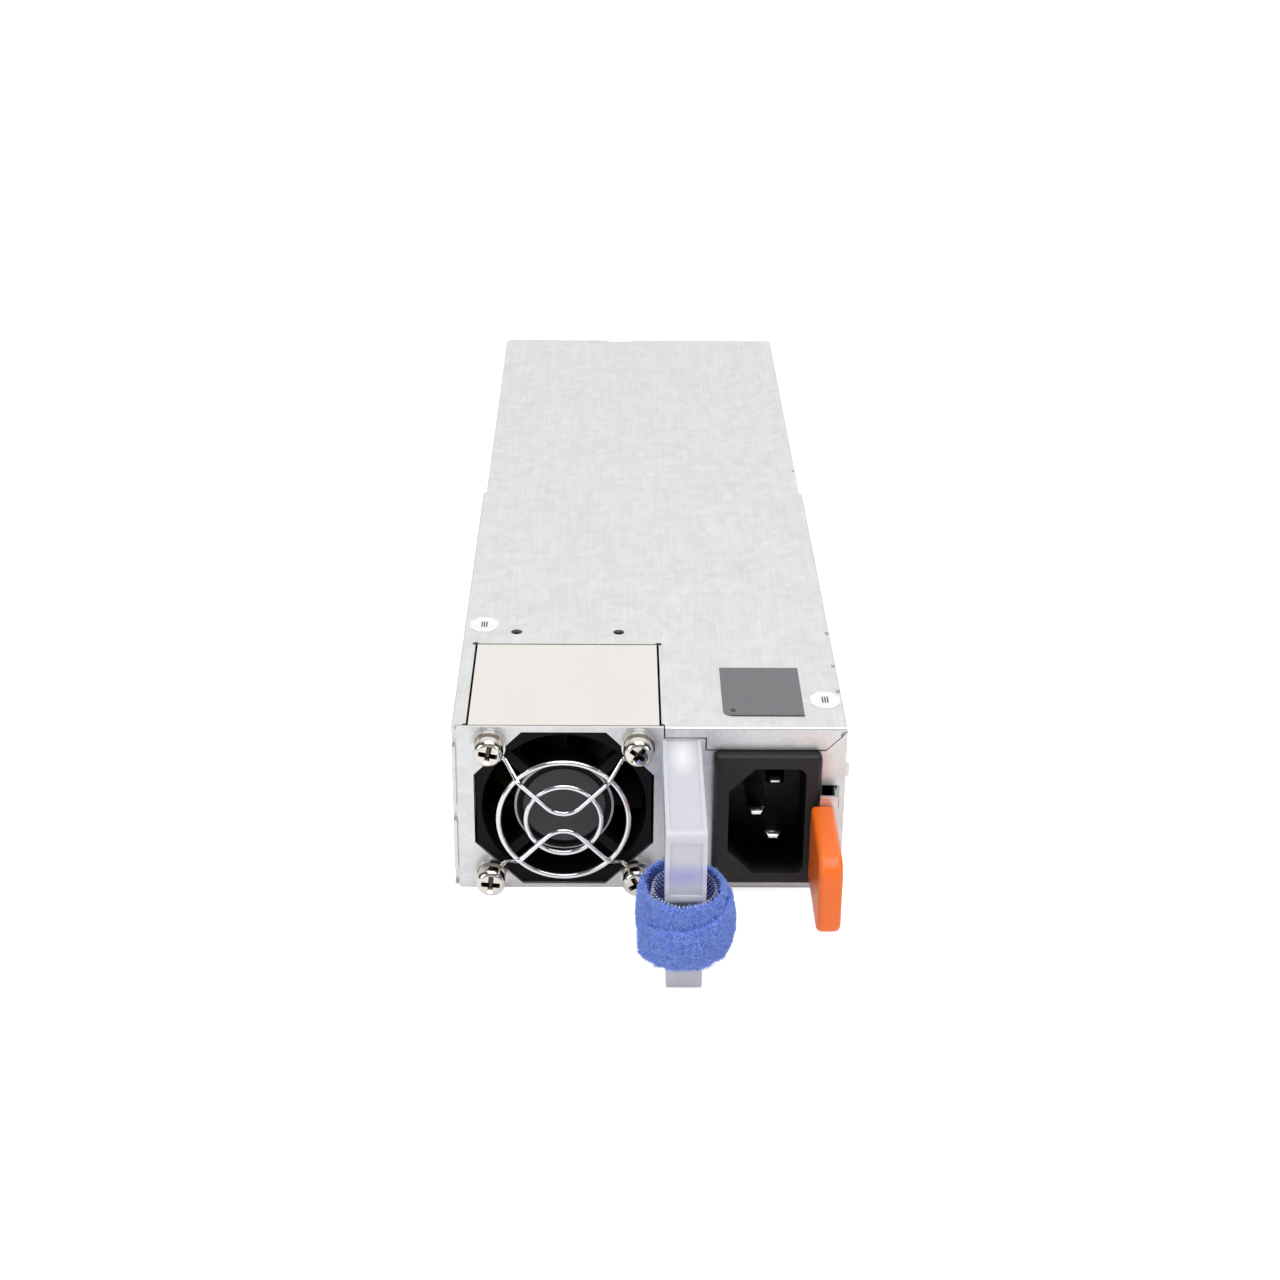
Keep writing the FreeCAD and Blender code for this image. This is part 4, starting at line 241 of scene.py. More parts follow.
def finish(name, colour, rough, metal=0.0, grain=2.0, wander=0.06, rough_wander=0.08, bump=0.15,
           bump_depth=0.02, stretch=(1, 1, 1), **sockets):
    """A procedural material. grain is the size of its mottling in mm, wander its strength."""
    made = bpy.data.materials.new(name)
    made.use_nodes = True
    tree = made.node_tree
    shader = tree.nodes["Principled BSDF"]
    place = node(tree, "ShaderNodeTexCoord")
    scaled = node(tree, "ShaderNodeMapping", in_Scale=[1 / (grain * MM * side) for side in stretch])
    mottle = node(tree, "ShaderNodeTexNoise", in_Scale=1.0, in_Detail=5.0, in_Roughness=0.6)
    join(tree, (place, "Object"), (scaled, 0))
    join(tree, (scaled, 0), (mottle, 0))
    dark = [channel * (1 - wander) for channel in colour]
    light = [min(1.0, channel * (1 + wander)) for channel in colour]
    tint = ramp(tree, [(0.3, dark), (0.7, light)])
    join(tree, (mottle, 0), (tint, 0))
    join(tree, (tint, 0), (shader, "Base Color"))
    patchy = node(tree, "ShaderNodeMapRange", in_1=0.3, in_2=0.7, in_3=max(0.02, rough - rough_wander),
                  in_4=min(1.0, rough + rough_wander))
    join(tree, (mottle, 0), (patchy, 0))
    join(tree, (patchy, 0), (shader, "Roughness"))
    raised = node(tree, "ShaderNodeBump", in_Strength=bump, in_Distance=bump_depth * MM)
    join(tree, (mottle, 0), (raised, "Height"))
    if bump:
        join(tree, (raised, 0), (shader, "Normal"))
    shader.inputs["Metallic"].default_value = metal
    for key, value in sockets.items():
        shader.inputs[key.replace("_", " ")].default_value = value
    FINISHES[name] = made
    return made


# %% [markdown]
# Galvanised sheet is zinc that froze in crystals. New thin sheet shows them only as a faint patchwork of
# slightly different greys, with fine rolling lines along the length. A cell pattern gives the crystals,
# a long stretched noise gives the lines, and both move the colour only a little.
# %% Galvanised sheet
SPANGLE = 2.6 * MM
ROLLED_LINES = (0.45 * MM, 14 * MM, 0.9 * MM)
zinc = finish("galvanised_sheet", (0.80, 0.805, 0.80), 0.40, metal=0.88, grain=9, wander=0.03,
              rough_wander=0.05, bump=0.08, bump_depth=0.01, Coat_Weight=0.0)
tree = zinc.node_tree
shader = tree.nodes["Principled BSDF"]
tint = shader.inputs["Base Color"].links[0].from_node
place = node(tree, "ShaderNodeTexCoord")
crystals = node(tree, "ShaderNodeTexVoronoi", in_Scale=1 / SPANGLE, in_Randomness=1.0)
crystal_grey = ramp(tree, [(0.0, (0.90, 0.90, 0.90)), (1.0, (1.0, 1.0, 1.0))])
rolled = node(tree, "ShaderNodeMapping", in_Scale=[1 / side for side in ROLLED_LINES])
rolling = node(tree, "ShaderNodeTexNoise", in_Scale=1.0, in_Detail=3.0)
rolling_grey = ramp(tree, [(0.35, (0.94, 0.94, 0.94)), (0.65, (1.0, 1.0, 1.0))])
with_crystals = node(tree, "ShaderNodeMix", data_type="RGBA", blend_type="MULTIPLY", in_0=1.0)
with_rolling = node(tree, "ShaderNodeMix", data_type="RGBA", blend_type="MULTIPLY", in_0=1.0)
join(tree, (place, "Object"), (crystals, "Vector"))
join(tree, (crystals, "Color"), (crystal_grey, 0))
join(tree, (place, "Object"), (rolled, 0))
join(tree, (rolled, 0), (rolling, 0))
join(tree, (rolling, 0), (rolling_grey, 0))
join(tree, (tint, 0), (with_crystals, 6))
join(tree, (crystal_grey, 0), (with_crystals, 7))
join(tree, (with_crystals, 2), (with_rolling, 6))
join(tree, (rolling_grey, 0), (with_rolling, 7))
join(tree, (with_rolling, 2), (shader, "Base Color"))

# %% [markdown]
# The fan's saddle is plated, not galvanised: smoother, warmer and nearly even. The wire and the screws
# are polished, so they need almost no pattern, only a slight haze.
# %% Plated metals
finish("satin_nickel", (0.83, 0.79, 0.75), 0.30, metal=0.9, grain=14, wander=0.02, rough_wander=0.04,
       bump=0.0, bump_depth=0.01, stretch=(1, 3, 1))
finish("polished_chrome", (0.78, 0.78, 0.80), 0.07, metal=1.0, grain=1.5, wander=0.03, rough_wander=0.04,
       bump=0.03, bump_depth=0.005)
finish("polished_nickel", (0.74, 0.70, 0.645), 0.14, metal=1.0, grain=1.2, wander=0.06, rough_wander=0.08,
       bump=0.08, bump_depth=0.01)
finish("dull_zinc", (0.62, 0.62, 0.62), 0.38, metal=0.9, grain=1.0, wander=0.08)
finish("pin_nickel", (0.82, 0.81, 0.78), 0.16, metal=1.0, grain=1.0, wander=0.04)
finish("ground_steel", (0.56, 0.56, 0.57), 0.25, metal=1.0, grain=0.8, wander=0.06, stretch=(1, 6, 1))

# %% [markdown]
# The black mouldings aren't the same black. The inlet has a fine spark-eroded texture that catches light
# along its upper edge. The fan is smoother, and its motor darker still. The rim round the hub is grey, a
# painted highlight.
# %% Black mouldings
finish("inlet_moulding", (0.020, 0.0195, 0.021), 0.38, grain=0.45, wander=0.25, rough_wander=0.14, bump=0.7,
       bump_depth=0.07, Specular_IOR_Level=0.25)
finish("fan_moulding", (0.006, 0.006, 0.007), 0.50, grain=1.6, wander=0.25, rough_wander=0.1, bump=0.12,
       Specular_IOR_Level=0.12)
finish("motor_moulding", (0.007, 0.007, 0.008), 0.40, grain=1.2, wander=0.2, rough_wander=0.1, bump=0.1,
       Specular_IOR_Level=0.1)
# Painted highlight: the rim round the hub is grey where the black moulding catches light.
finish("rim_painted_highlight", (0.42, 0.42, 0.43), 0.30, grain=1.2, wander=0.2, rough_wander=0.1, bump=0.1)
finish("black_package", (0.03, 0.03, 0.03), 0.5, grain=0.8, wander=0.2)
finish("wire_sleeve", (0.02, 0.02, 0.02), 0.45, grain=1.0, wander=0.2)
finish("ferrite_body", (0.05, 0.05, 0.055), 0.55, grain=1.0, wander=0.15, bump=0.3)
finish("magnet_body", (0.07, 0.065, 0.065), 0.6, grain=1.0, wander=0.15, bump=0.3)

# %% [markdown]
# The tab is moulded in orange, glossy enough for one soft highlight down its rounded front. Orange
# plastic lets a little light in, which keeps its shaded side red, not brown: that is subsurface light.
# %% Orange moulding
finish("orange_moulding", (0.90, 0.165, 0.014), 0.33, grain=1.4, wander=0.03, rough_wander=0.05, bump=0.10,
       bump_depth=0.015, Subsurface_Weight=0.15, Subsurface_Radius=(1.0, 0.25, 0.08),
       Subsurface_Scale=0.002)

# %% [markdown]
# Labels are thin films with a satin face. The grey one is plain, with one small punched mark near its
# front corner. The two paper marks are an inspector's: white, with three small printed bars. The bars
# and the punched mark are drawn by distances measured on the object, so they stay where they are. The
# same helpers paint shade into the inlet's cavity and darken the front edge of the grey label.
# %% Label films
finish("grey_film", (0.135, 0.135, 0.145), 0.42, grain=2.5, wander=0.02, rough_wander=0.05, bump=0.05)
finish("hub_film", (0.034, 0.034, 0.038), 0.40, grain=1.5, wander=0.08, rough_wander=0.06, bump=0.05)
finish("white_paper", (0.88, 0.88, 0.88), 0.55, grain=0.8, wander=0.02, rough_wander=0.05, bump=0.1)


def spot_mask(tree, centre, half_size, softness, round_spot=True):
    """1 inside a spot on the object, 0 outside it. Its centre and half size are in metres."""
    place = node(tree, "ShaderNodeTexCoord")
    moved = node(tree, "ShaderNodeMapping", vector_type="POINT", in_Location=[-c for c in centre])
    scaled = node(tree, "ShaderNodeMapping", in_Scale=[1 / side for side in half_size])
    join(tree, (place, "Object"), (moved, 0))
    join(tree, (moved, 0), (scaled, 0))
    if round_spot:
        away = node(tree, "ShaderNodeVectorMath", operation="LENGTH")
        join(tree, (scaled, 0), (away, 0))
        distance = (away, 1)
    else:
        size = node(tree, "ShaderNodeVectorMath", operation="ABSOLUTE")
        sides = node(tree, "ShaderNodeSeparateXYZ")
        larger = node(tree, "ShaderNodeMath", operation="MAXIMUM")
        join(tree, (scaled, 0), (size, 0))
        join(tree, (size, 0), (sides, 0))
        join(tree, (sides, "X"), (larger, 0))
        join(tree, (sides, "Y"), (larger, 1))
        distance = (larger, 0)
    inside = node(tree, "ShaderNodeMapRange", in_1=1 - softness, in_2=1 + softness, in_3=1.0, in_4=0.0)
    join(tree, distance, (inside, 0))
    return inside


def paint(made, mask, colour):
    """Lay a colour over a finish where the mask is 1."""
    tree = made.node_tree
    shader = tree.nodes["Principled BSDF"]
    under = shader.inputs["Base Color"].links[0].from_socket
    over = node(tree, "ShaderNodeMix", data_type="RGBA", in_7=(*colour, 1))
    join(tree, (mask, 0), (over, 0))
    tree.links.new(under, over.inputs[6])
    join(tree, (over, 2), (shader, "Base Color"))


def depth_mask(tree, start, end):
    """0 in front of the start, 1 behind the end, both as distances along Y on the object."""
    place = node(tree, "ShaderNodeTexCoord")
    sides = node(tree, "ShaderNodeSeparateXYZ")
    inside = node(tree, "ShaderNodeMapRange", in_1=start, in_2=end, in_3=0.0, in_4=1.0)
    join(tree, (place, "Object"), (sides, 0))
    join(tree, (sides, "Y"), (inside, 0))
    return inside


inlet_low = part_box("inlet_body")[0]
# Painted shade: the inlet's cavity is painted nearly black from a little way in, where shade falls.
CAVITY_START, CAVITY_END = 0.3 * MM, 4.5 * MM
cavity = FINISHES["inlet_moulding"]
cavity_painted_shade = depth_mask(cavity.node_tree, inlet_low.y + CAVITY_START, inlet_low.y + CAVITY_END)
paint(cavity, cavity_painted_shade, (0.0015, 0.0015, 0.0018))
FAR = 1.0
PUNCHED_AT = (2.2 * MM, 2.4 * MM)
PUNCHED_HALF = (0.62 * MM, 0.85 * MM, FAR)
EDGE_LINE = 0.3 * MM
EDGE_HALF = 10 * MM
label_low, label_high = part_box("top_label")
mark = FINISHES["grey_film"]
punched_place = (label_low.x + PUNCHED_AT[0], label_low.y + PUNCHED_AT[1], 0)
punched = spot_mask(mark.node_tree, punched_place, PUNCHED_HALF, 0.15)
paint(mark, punched, (0.006, 0.006, 0.006))
line_place = ((label_low.x + label_high.x) / 2, label_low.y + EDGE_LINE - EDGE_HALF, 0)
line_half = (2 * (label_high.x - label_low.x), EDGE_HALF, FAR)
front_line = spot_mask(mark.node_tree, line_place, line_half, 0.01, round_spot=False)
paint(mark, front_line, (0.03, 0.03, 0.033))
dots_low, dots_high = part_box("inspection_dots")
DOT_RADIUS = 3.15 * MM
BAR_PITCH = 0.55 * MM
BAR_HALF = (0.17 * MM, 1.45 * MM, FAR)
BAR_FORWARD = 0.2 * MM
stickers = FINISHES["white_paper"]
DOTS = ((dots_low.x + DOT_RADIUS, dots_high.y - DOT_RADIUS),
        (dots_high.x - DOT_RADIUS, dots_low.y + DOT_RADIUS))
for x, y in DOTS:
    for shift in (-1, 0, 1):
        bar = spot_mask(stickers.node_tree, (x + shift * BAR_PITCH, y + BAR_FORWARD, 0), BAR_HALF, 0.2,
                        round_spot=False)
        paint(stickers, bar, (0.06, 0.06, 0.08))
print("marks painted on the label and on", len(DOTS), "paper marks")

# %% [markdown]
# The handle is moulded clear but frosted: light goes in, scatters, and comes out milky and slightly
# violet. A little transmission and much subsurface light give the depth, and a rough surface the frost.
# The strap's light seen through the grip is painted light: a violet tint laid on where the handle is
# modelled.
# %% Frosted handle
finish("frosted_clear", (0.66, 0.665, 0.72), 0.24, grain=9, wander=0.015, rough_wander=0.04, bump=0.0,
       Transmission_Weight=0.10, IOR=1.46, Subsurface_Weight=0.45, Subsurface_Radius=(1.0, 1.0, 1.2),
       Subsurface_Scale=0.0025)
finish("green_lens", (0.45, 0.85, 0.50), 0.2, grain=0.5, wander=0.05, Transmission_Weight=0.5)

# %% [markdown]
# The strap is hook-and-loop tape. Its outside is a brushed nap: soft blue fibres that lie every way, dark
# in their depth and pale at the tips: the darker blue under them is painted shade, and the paler fibres
# stand for lit tips. Its inside is a dark blue weave with ordered rows of pale hooks.
# %% Strap fabrics
# Painted shade and light: the nap's darker blue is shade in the pile, the fibres' paler blue their lit tips.
finish("strap_nap_painted_shade", (0.105, 0.19, 0.70), 0.85, grain=0.9, wander=0.30, rough_wander=0.05, bump=0.9,
       bump_depth=0.25, Sheen_Weight=0.35, Sheen_Roughness=0.5, Sheen_Tint=(0.45, 0.58, 1.0, 1))
finish("strap_fibre", (0.27, 0.40, 1.0), 0.8, grain=1.1, wander=0.30, rough_wander=0.05, bump=0.1,
       Sheen_Weight=0.3, Sheen_Tint=(0.6, 0.72, 1.0, 1))
finish("strap_hooks", (0.84, 0.86, 1.0), 0.5, grain=0.8, wander=0.12, bump=0.1)
finish("strap_weave", (0.085, 0.12, 0.44), 0.7, grain=0.5, wander=0.25, bump=0.5)

# %% [markdown]
# What the box holds is hidden once it is closed, but an open vent or a lifted cover would show it. Each
# inner part gets its own plain finish in the colours such parts have: green board, gold contacts,
# yellow film and tape, sleeved capacitors, enamelled copper.
# %% Finishes of the inner parts
finish("board_mask", (0.02, 0.13, 0.06), 0.32, grain=3, wander=0.12)
finish("gold_plate", (0.83, 0.58, 0.20), 0.2, metal=1.0, grain=1, wander=0.05)
finish("yellow_film", (0.78, 0.62, 0.12), 0.3, grain=6, wander=0.05)
finish("capacitor_sleeve", (0.03, 0.03, 0.06), 0.28, grain=4, wander=0.1)
finish("enamelled_copper", (0.60, 0.24, 0.09), 0.28, metal=0.8, grain=0.8, wander=0.12, bump=0.5)
finish("winding_tape", (0.82, 0.62, 0.10), 0.4, grain=3, wander=0.06)
finish("heatsink_metal", (0.66, 0.66, 0.68), 0.36, metal=0.95, grain=1.2, wander=0.06, stretch=(1, 8, 1))
finish("thermal_pad", (0.42, 0.46, 0.50), 0.7, grain=1, wander=0.06)
finish("potted_box", (0.80, 0.60, 0.07), 0.35, grain=2, wander=0.05)
finish("coated_disc", (0.06, 0.17, 0.45), 0.35, grain=1, wander=0.1)
finish("fuse_ceramic", (0.78, 0.77, 0.72), 0.35, grain=1, wander=0.06)
finish("white_case", (0.80, 0.80, 0.76), 0.4, grain=2, wander=0.04)

# %% [markdown]
# The record names a material slot for every solid. One table says which finish each slot gets, so no
# solid keeps its plain colour, and the meshes themselves are left as they came.
# %% Dress the solids
SLOT_FINISH = {
    "galvanised_steel": "galvanised_sheet", "nickel_plate": "satin_nickel", "chrome_wire": "polished_chrome",
    "nickel_screw": "polished_nickel", "zinc_screw": "dull_zinc", "fan_black": "fan_moulding",
    "label_grey": "grey_film", "label_white": "white_paper", "clear_plastic": "frosted_clear",
    "blue_strap": "strap_nap_painted_shade", "latch_dark": "galvanised_sheet", "orange_plastic": "orange_moulding",
    "inlet_black": "inlet_moulding", "pin_metal": "pin_nickel", "board_green": "board_mask",
    "gold": "gold_plate", "film_yellow": "yellow_film", "capacitor_sleeve": "capacitor_sleeve",
    "ferrite": "ferrite_body", "copper_winding": "enamelled_copper", "tape_yellow": "winding_tape",
    "heatsink_aluminium": "heatsink_metal", "package_black": "black_package", "pad_grey": "thermal_pad",
    "box_film": "potted_box", "disc_blue": "coated_disc", "fuse_glass": "fuse_ceramic",
    "relay_white": "white_case", "led_green": "green_lens", "shaft_steel": "ground_steel",
    "magnet_dark": "magnet_body", "lead_black": "wire_sleeve", "connector_white": "white_case",
}
NODE_FINISH = {"hub_label": "hub_film", "fan_motor_base": "motor_moulding",
               "latch_spring": "galvanised_sheet"}
for row in frame["record"]["subparts"]:
    chosen = NODE_FINISH.get(row["node"], SLOT_FINISH[row["material_slot"]])
    for material_slot in frame["nodes"][row["node"]].material_slots:
        material_slot.material = FINISHES[chosen]

# %% [markdown]
# The new pieces below are modelled the way a person would at the screen: a primitive at its true size and
# place, then edit mode. Three small helpers keep that tidy. One clears the selection and picks an object,
# one picks faces or edges by a test on their middle, and one applies modifiers, bakes the place into the
# mesh, gives the piece its finish and its body, and hides the solids of the record that it stands for.
# %% Helpers for modelling
def pick(piece):
    """Select one object alone and make it active."""
    bpy.ops.object.select_all(action="DESELECT")
    piece.select_set(True)
    bpy.context.view_layer.objects.active = piece
    return piece


def select_where(piece, kind, test):
    """In object mode, select the faces or edges whose middle passes the test. kind is FACE or EDGE."""
    mesh = piece.data
    for group in (mesh.vertices, mesh.edges, mesh.polygons):
        group.foreach_set("select", [False] * len(group))
    world_matrix = piece.matrix_world
    for part in (mesh.polygons if kind == "FACE" else mesh.edges):
        corners = [world_matrix @ mesh.vertices[index].co for index in part.vertices]
        middle = sum(corners, Vector()) / len(corners)
        if test(middle, corners):
            part.select = True
            for index in part.vertices:
                mesh.vertices[index].select = True


def edit(piece, kind, test, *steps):
    """Select by the test, then run the given edit-mode steps on what is selected."""
    pick(piece)
    select_where(piece, kind, test)
    bpy.ops.object.mode_set(mode="EDIT")
    bpy.context.tool_settings.mesh_select_mode = (False, kind == "EDGE", kind == "FACE")
    for step in steps:
        step()
    bpy.ops.object.mode_set(mode="OBJECT")


def modifier(piece, kind, **settings):
    """Add a modifier and apply it at once."""
    pick(piece)
    made = piece.modifiers.new(kind.lower(), kind)
    for name, value in settings.items():
        setattr(made, name, value)
    bpy.ops.object.modifier_apply(modifier=made.name)


def complete(piece, name, material, body, slot, *stands_for, smooth=35):
    """Bake the place into the mesh, turn the faces outwards, shade it and hand it to its body."""
    pick(piece)
    piece.name = name
    piece.data.name = name
    bpy.ops.object.transform_apply(location=True, rotation=True, scale=True)
    bpy.ops.object.mode_set(mode="EDIT")
    bpy.ops.mesh.select_all(action="SELECT")
    bpy.ops.mesh.remove_doubles(threshold=0.001 * MM)
    bpy.ops.mesh.normals_make_consistent(inside=False)
    bpy.ops.object.mode_set(mode="OBJECT")
    piece.data.materials.clear()
    piece.data.materials.append(FINISHES[material])
    bpy.ops.object.shade_smooth_by_angle(angle=math.radians(smooth))
    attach(piece, body)
    if stands_for:
        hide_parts(*stands_for)
    print(name, len(piece.data.polygons), "faces")
    return piece


def together(pieces):
    """Join several objects into the first."""
    bpy.ops.object.select_all(action="DESELECT")
    for piece in pieces:
        piece.select_set(True)
    bpy.context.view_layer.objects.active = pieces[0]
    bpy.ops.object.join()
    return pieces[0]


# %% [markdown]
# The guard is wire, so it is made as wire: a line down the middle and a round section along it. Two wires
# run from screw to screw. Each leaves its eye flat on the panel, steps outwards, crosses over the fan and
# turns back in a rounded vertex just short of the middle. Two rings are welded behind them. A curve with
# a bevel does this best, turned into a mesh at the end.
# %% Fan guard
screws_low, screws_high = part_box("guard_screws")
frame_low, frame_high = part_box("fan_frame")
fan_middle = Vector(((frame_low.x + frame_high.x) / 2, front_face, (frame_low.z + frame_high.z) / 2))
WIRE = 0.575 * MM
SCREW_PITCH = 32 * MM
STANDOFF = 5.2 * MM
EYE = 2.9 * MM
FLAT_RUN, RISING_RUN = 1.9 * MM, 6.2 * MM
FOOT_BEND, VERTEX_BEND = 1.6 * MM, 5.1 * MM
GUARD_RINGS = (14.0 * MM, 8.1 * MM)
ARC_STEPS = 10


def bent_line(corners, bends):
    """The corners joined by straight runs, with a round bend of the given radius at each inner one."""
    line = [corners[0]]
    for before, corner, after, bend in zip(corners, corners[1:], corners[2:], bends):
        back, forth = (before - corner).normalized(), (after - corner).normalized()
        half = back.angle(forth) / 2
        reach = bend / math.tan(half)
        hub = corner + (back + forth).normalized() * (bend / math.sin(half))
        first, last = corner + back * reach - hub, corner + forth * reach - hub
        for step in range(ARC_STEPS + 1):
            line.append(hub + first.slerp(last, step / ARC_STEPS).normalized() * bend)
    line.append(corners[-1])
    return line


def wire(name, line, radius, closed=False, resolution=5):
    """A round wire along the line, as a mesh."""
    curve = bpy.data.curves.new(name, "CURVE")
    curve.dimensions = "3D"
    curve.bevel_depth = radius
    curve.bevel_resolution = resolution
    curve.use_fill_caps = True
    run = curve.splines.new("POLY")
    run.points.add(len(line) - 1)
    for point, place in zip(run.points, line):
        point.co = (*place, 1)
    run.use_cyclic_u = closed
    made = bpy.data.objects.new(name, curve)
    scene.collection.objects.link(made)
    pick(made)
    bpy.ops.object.convert(target="MESH")
    return bpy.context.object


def across_fan(side, up, inward, proud):
    """A point on the diagonal, at a distance inward from the screw and proud of the panel."""
    offset = SCREW_PITCH / 2 - inward * math.sqrt(0.5)
    return Vector((fan_middle.x + side * offset, front_face - proud, fan_middle.z + up * offset))


guard_parts = []
for up in (1, -1):
    flat, proud = WIRE, WIRE + STANDOFF
    vertex = Vector((fan_middle.x, front_face - proud, fan_middle.z))
    corners = [across_fan(-1, up, EYE, flat), across_fan(-1, up, EYE + FLAT_RUN, flat),
               across_fan(-1, up, EYE + RISING_RUN, proud), vertex,
               across_fan(1, up, EYE + RISING_RUN, proud), across_fan(1, up, EYE + FLAT_RUN, flat),
               across_fan(1, up, EYE, flat)]
    bends = [FOOT_BEND, FOOT_BEND, VERTEX_BEND, FOOT_BEND, FOOT_BEND]
    guard_parts.append(wire("guard_run", bent_line(corners, bends), WIRE))
    for side in (-1, 1):
        bpy.ops.mesh.primitive_torus_add(
            location=(fan_middle.x + side * SCREW_PITCH / 2, front_face - flat,
                      fan_middle.z + up * SCREW_PITCH / 2),
            rotation=(math.pi / 2, 0, 0), major_radius=EYE, minor_radius=WIRE, major_segments=48,
            minor_segments=14)
        guard_parts.append(bpy.context.object)
for radius in GUARD_RINGS:
    bpy.ops.mesh.primitive_torus_add(
        location=(fan_middle.x, front_face - STANDOFF + WIRE * 0.75, fan_middle.z),
        rotation=(math.pi / 2, 0, 0), major_radius=radius, minor_radius=WIRE, major_segments=128,
        minor_segments=16)
    guard_parts.append(bpy.context.object)
complete(together(guard_parts), "wire_guard", "polished_chrome", "housing", "chrome_wire", "fan_guard",
         smooth=60)

# %% [markdown]
# Four pan-head screws hold the guard. A pan head is a short cylinder with a generously rounded rim, and a
# cross recess that narrows as it goes in. The rim is one bevel, and the recess is cut by a tapered cross.
# Each screw is turned a little differently, because nobody lines up screws. Shade keeps a
# recess dark brown on a bright screw, so a soft ball of painted shade in that colour lies inside each one.
# %% Guard screws
HEAD = 3.25 * MM
HEAD_HEIGHT = 2.5 * MM
HEAD_ROUND = 1.55 * MM
SHANK = 1.7 * MM
RECESS = 1.45 * MM
BLADE_SPAN, BLADE_WIDTH, BLADE_TAPER = 4.3 * MM, 1.15 * MM, 0.5
OVERCUT = 0.05 * MM
SHADE_DEPTH = 1.15 * MM
SHADE_HALF = (2.4 * MM, 0.85 * MM, 2.4 * MM)
head_back = screws_low.y + HEAD_HEIGHT
TURNS = {(-1, 1): 12, (1, 1): 38, (-1, -1): 5, (1, -1): 61}
screw_parts = []
nickel = FINISHES["polished_nickel"]
for (side, up), turn in TURNS.items():
    place = Vector((fan_middle.x + side * SCREW_PITCH / 2, 0, fan_middle.z + up * SCREW_PITCH / 2))
    bpy.ops.mesh.primitive_cylinder_add(vertices=56, radius=HEAD, depth=HEAD_HEIGHT,
                                        location=(place.x, head_back - HEAD_HEIGHT / 2, place.z),
                                        rotation=(math.pi / 2, 0, 0))
    head = bpy.context.object
    edit(head, "EDGE", lambda middle, ends: all(end.y < screws_low.y + 0.01 * MM for end in ends),
         lambda: bpy.ops.mesh.bevel(offset=HEAD_ROUND, segments=9, profile=0.52, affect="EDGES"))
    blades = []
    for quarter in (0, math.pi / 2):
        recess_middle = (place.x, screws_low.y + RECESS / 2 - OVERCUT, place.z)
        bpy.ops.mesh.primitive_cube_add(size=1, location=recess_middle,
                                        rotation=(0, math.radians(turn) + quarter, 0),
                                        scale=(BLADE_SPAN, RECESS, BLADE_WIDTH))
        blade = bpy.context.object
        edit(blade, "FACE", lambda middle, ends: middle.y > screws_low.y + RECESS / 2,
             lambda: bpy.ops.transform.resize(value=(BLADE_TAPER, 1, BLADE_TAPER), orient_type="GLOBAL",
                                              center_override=(place.x, 0, place.z)))
        blades.append(blade)
    for blade in blades:
        modifier(head, "BOOLEAN", object=blade, operation="DIFFERENCE", solver="EXACT")
        bpy.data.objects.remove(blade)
    bpy.ops.mesh.primitive_cylinder_add(vertices=32, radius=SHANK, depth=screws_high.y - head_back,
                                        location=(place.x, (screws_high.y + head_back) / 2, place.z),
                                        rotation=(math.pi / 2, 0, 0))
    screw_parts += [head, bpy.context.object]
    # Painted shade: a soft dark brown ball inside each cross recess.
    shade = spot_mask(nickel.node_tree, (place.x, screws_low.y + SHADE_DEPTH, place.z), SHADE_HALF, 0.25)
    paint(nickel, shade, (0.085, 0.060, 0.042))
complete(together(screw_parts), "cross_screws", "polished_nickel", "housing", "nickel_screw", "guard_screws",
         smooth=28)

# %% [markdown]
# The strap is hook-and-loop tape, wound a little over one and a half times round the handle's neck. The
# tape is one piece: a short length is stood on edge, bowed a little, and its end is extruded round and
# round, a step at a time, while the roll grows by one thickness each turn. Towards its free end the tape
# narrows to a tongue, so its upper edge sinks as it goes round the front. Solidify gives it thickness,
# subdivision its soft rims, and two sizes of clouds the lumps of its pile.
# %% Rolled strap
handle_low, handle_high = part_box("pull_handle")
strap_low, strap_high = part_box("cord_strap")
LEANING = Vector((-0.05 * MM, 2.6 * MM, 0.5 * MM))
strap_middle = (strap_low + strap_high) / 2 + LEANING
STRAP_HEIGHT = (strap_high.z - strap_low.z) - 0.6 * MM
DEEPER = 1.2
TURN_STEPS = 36
TAPE = 1.0 * MM
LINING = 0.35 * MM
SLACK = 0.6 * MM
OUTER_LINE = (strap_high.x - strap_low.x) / 2 + SLACK - TAPE / 2
WOUND_TURNS = 1.6
START_TURN = 62
NARROWING = 0.42
TONGUE_TURNS = 0.80
LAYER_STEP = 1.4
CORE_SHARE = 0.86
CROWN = 0.75 * MM


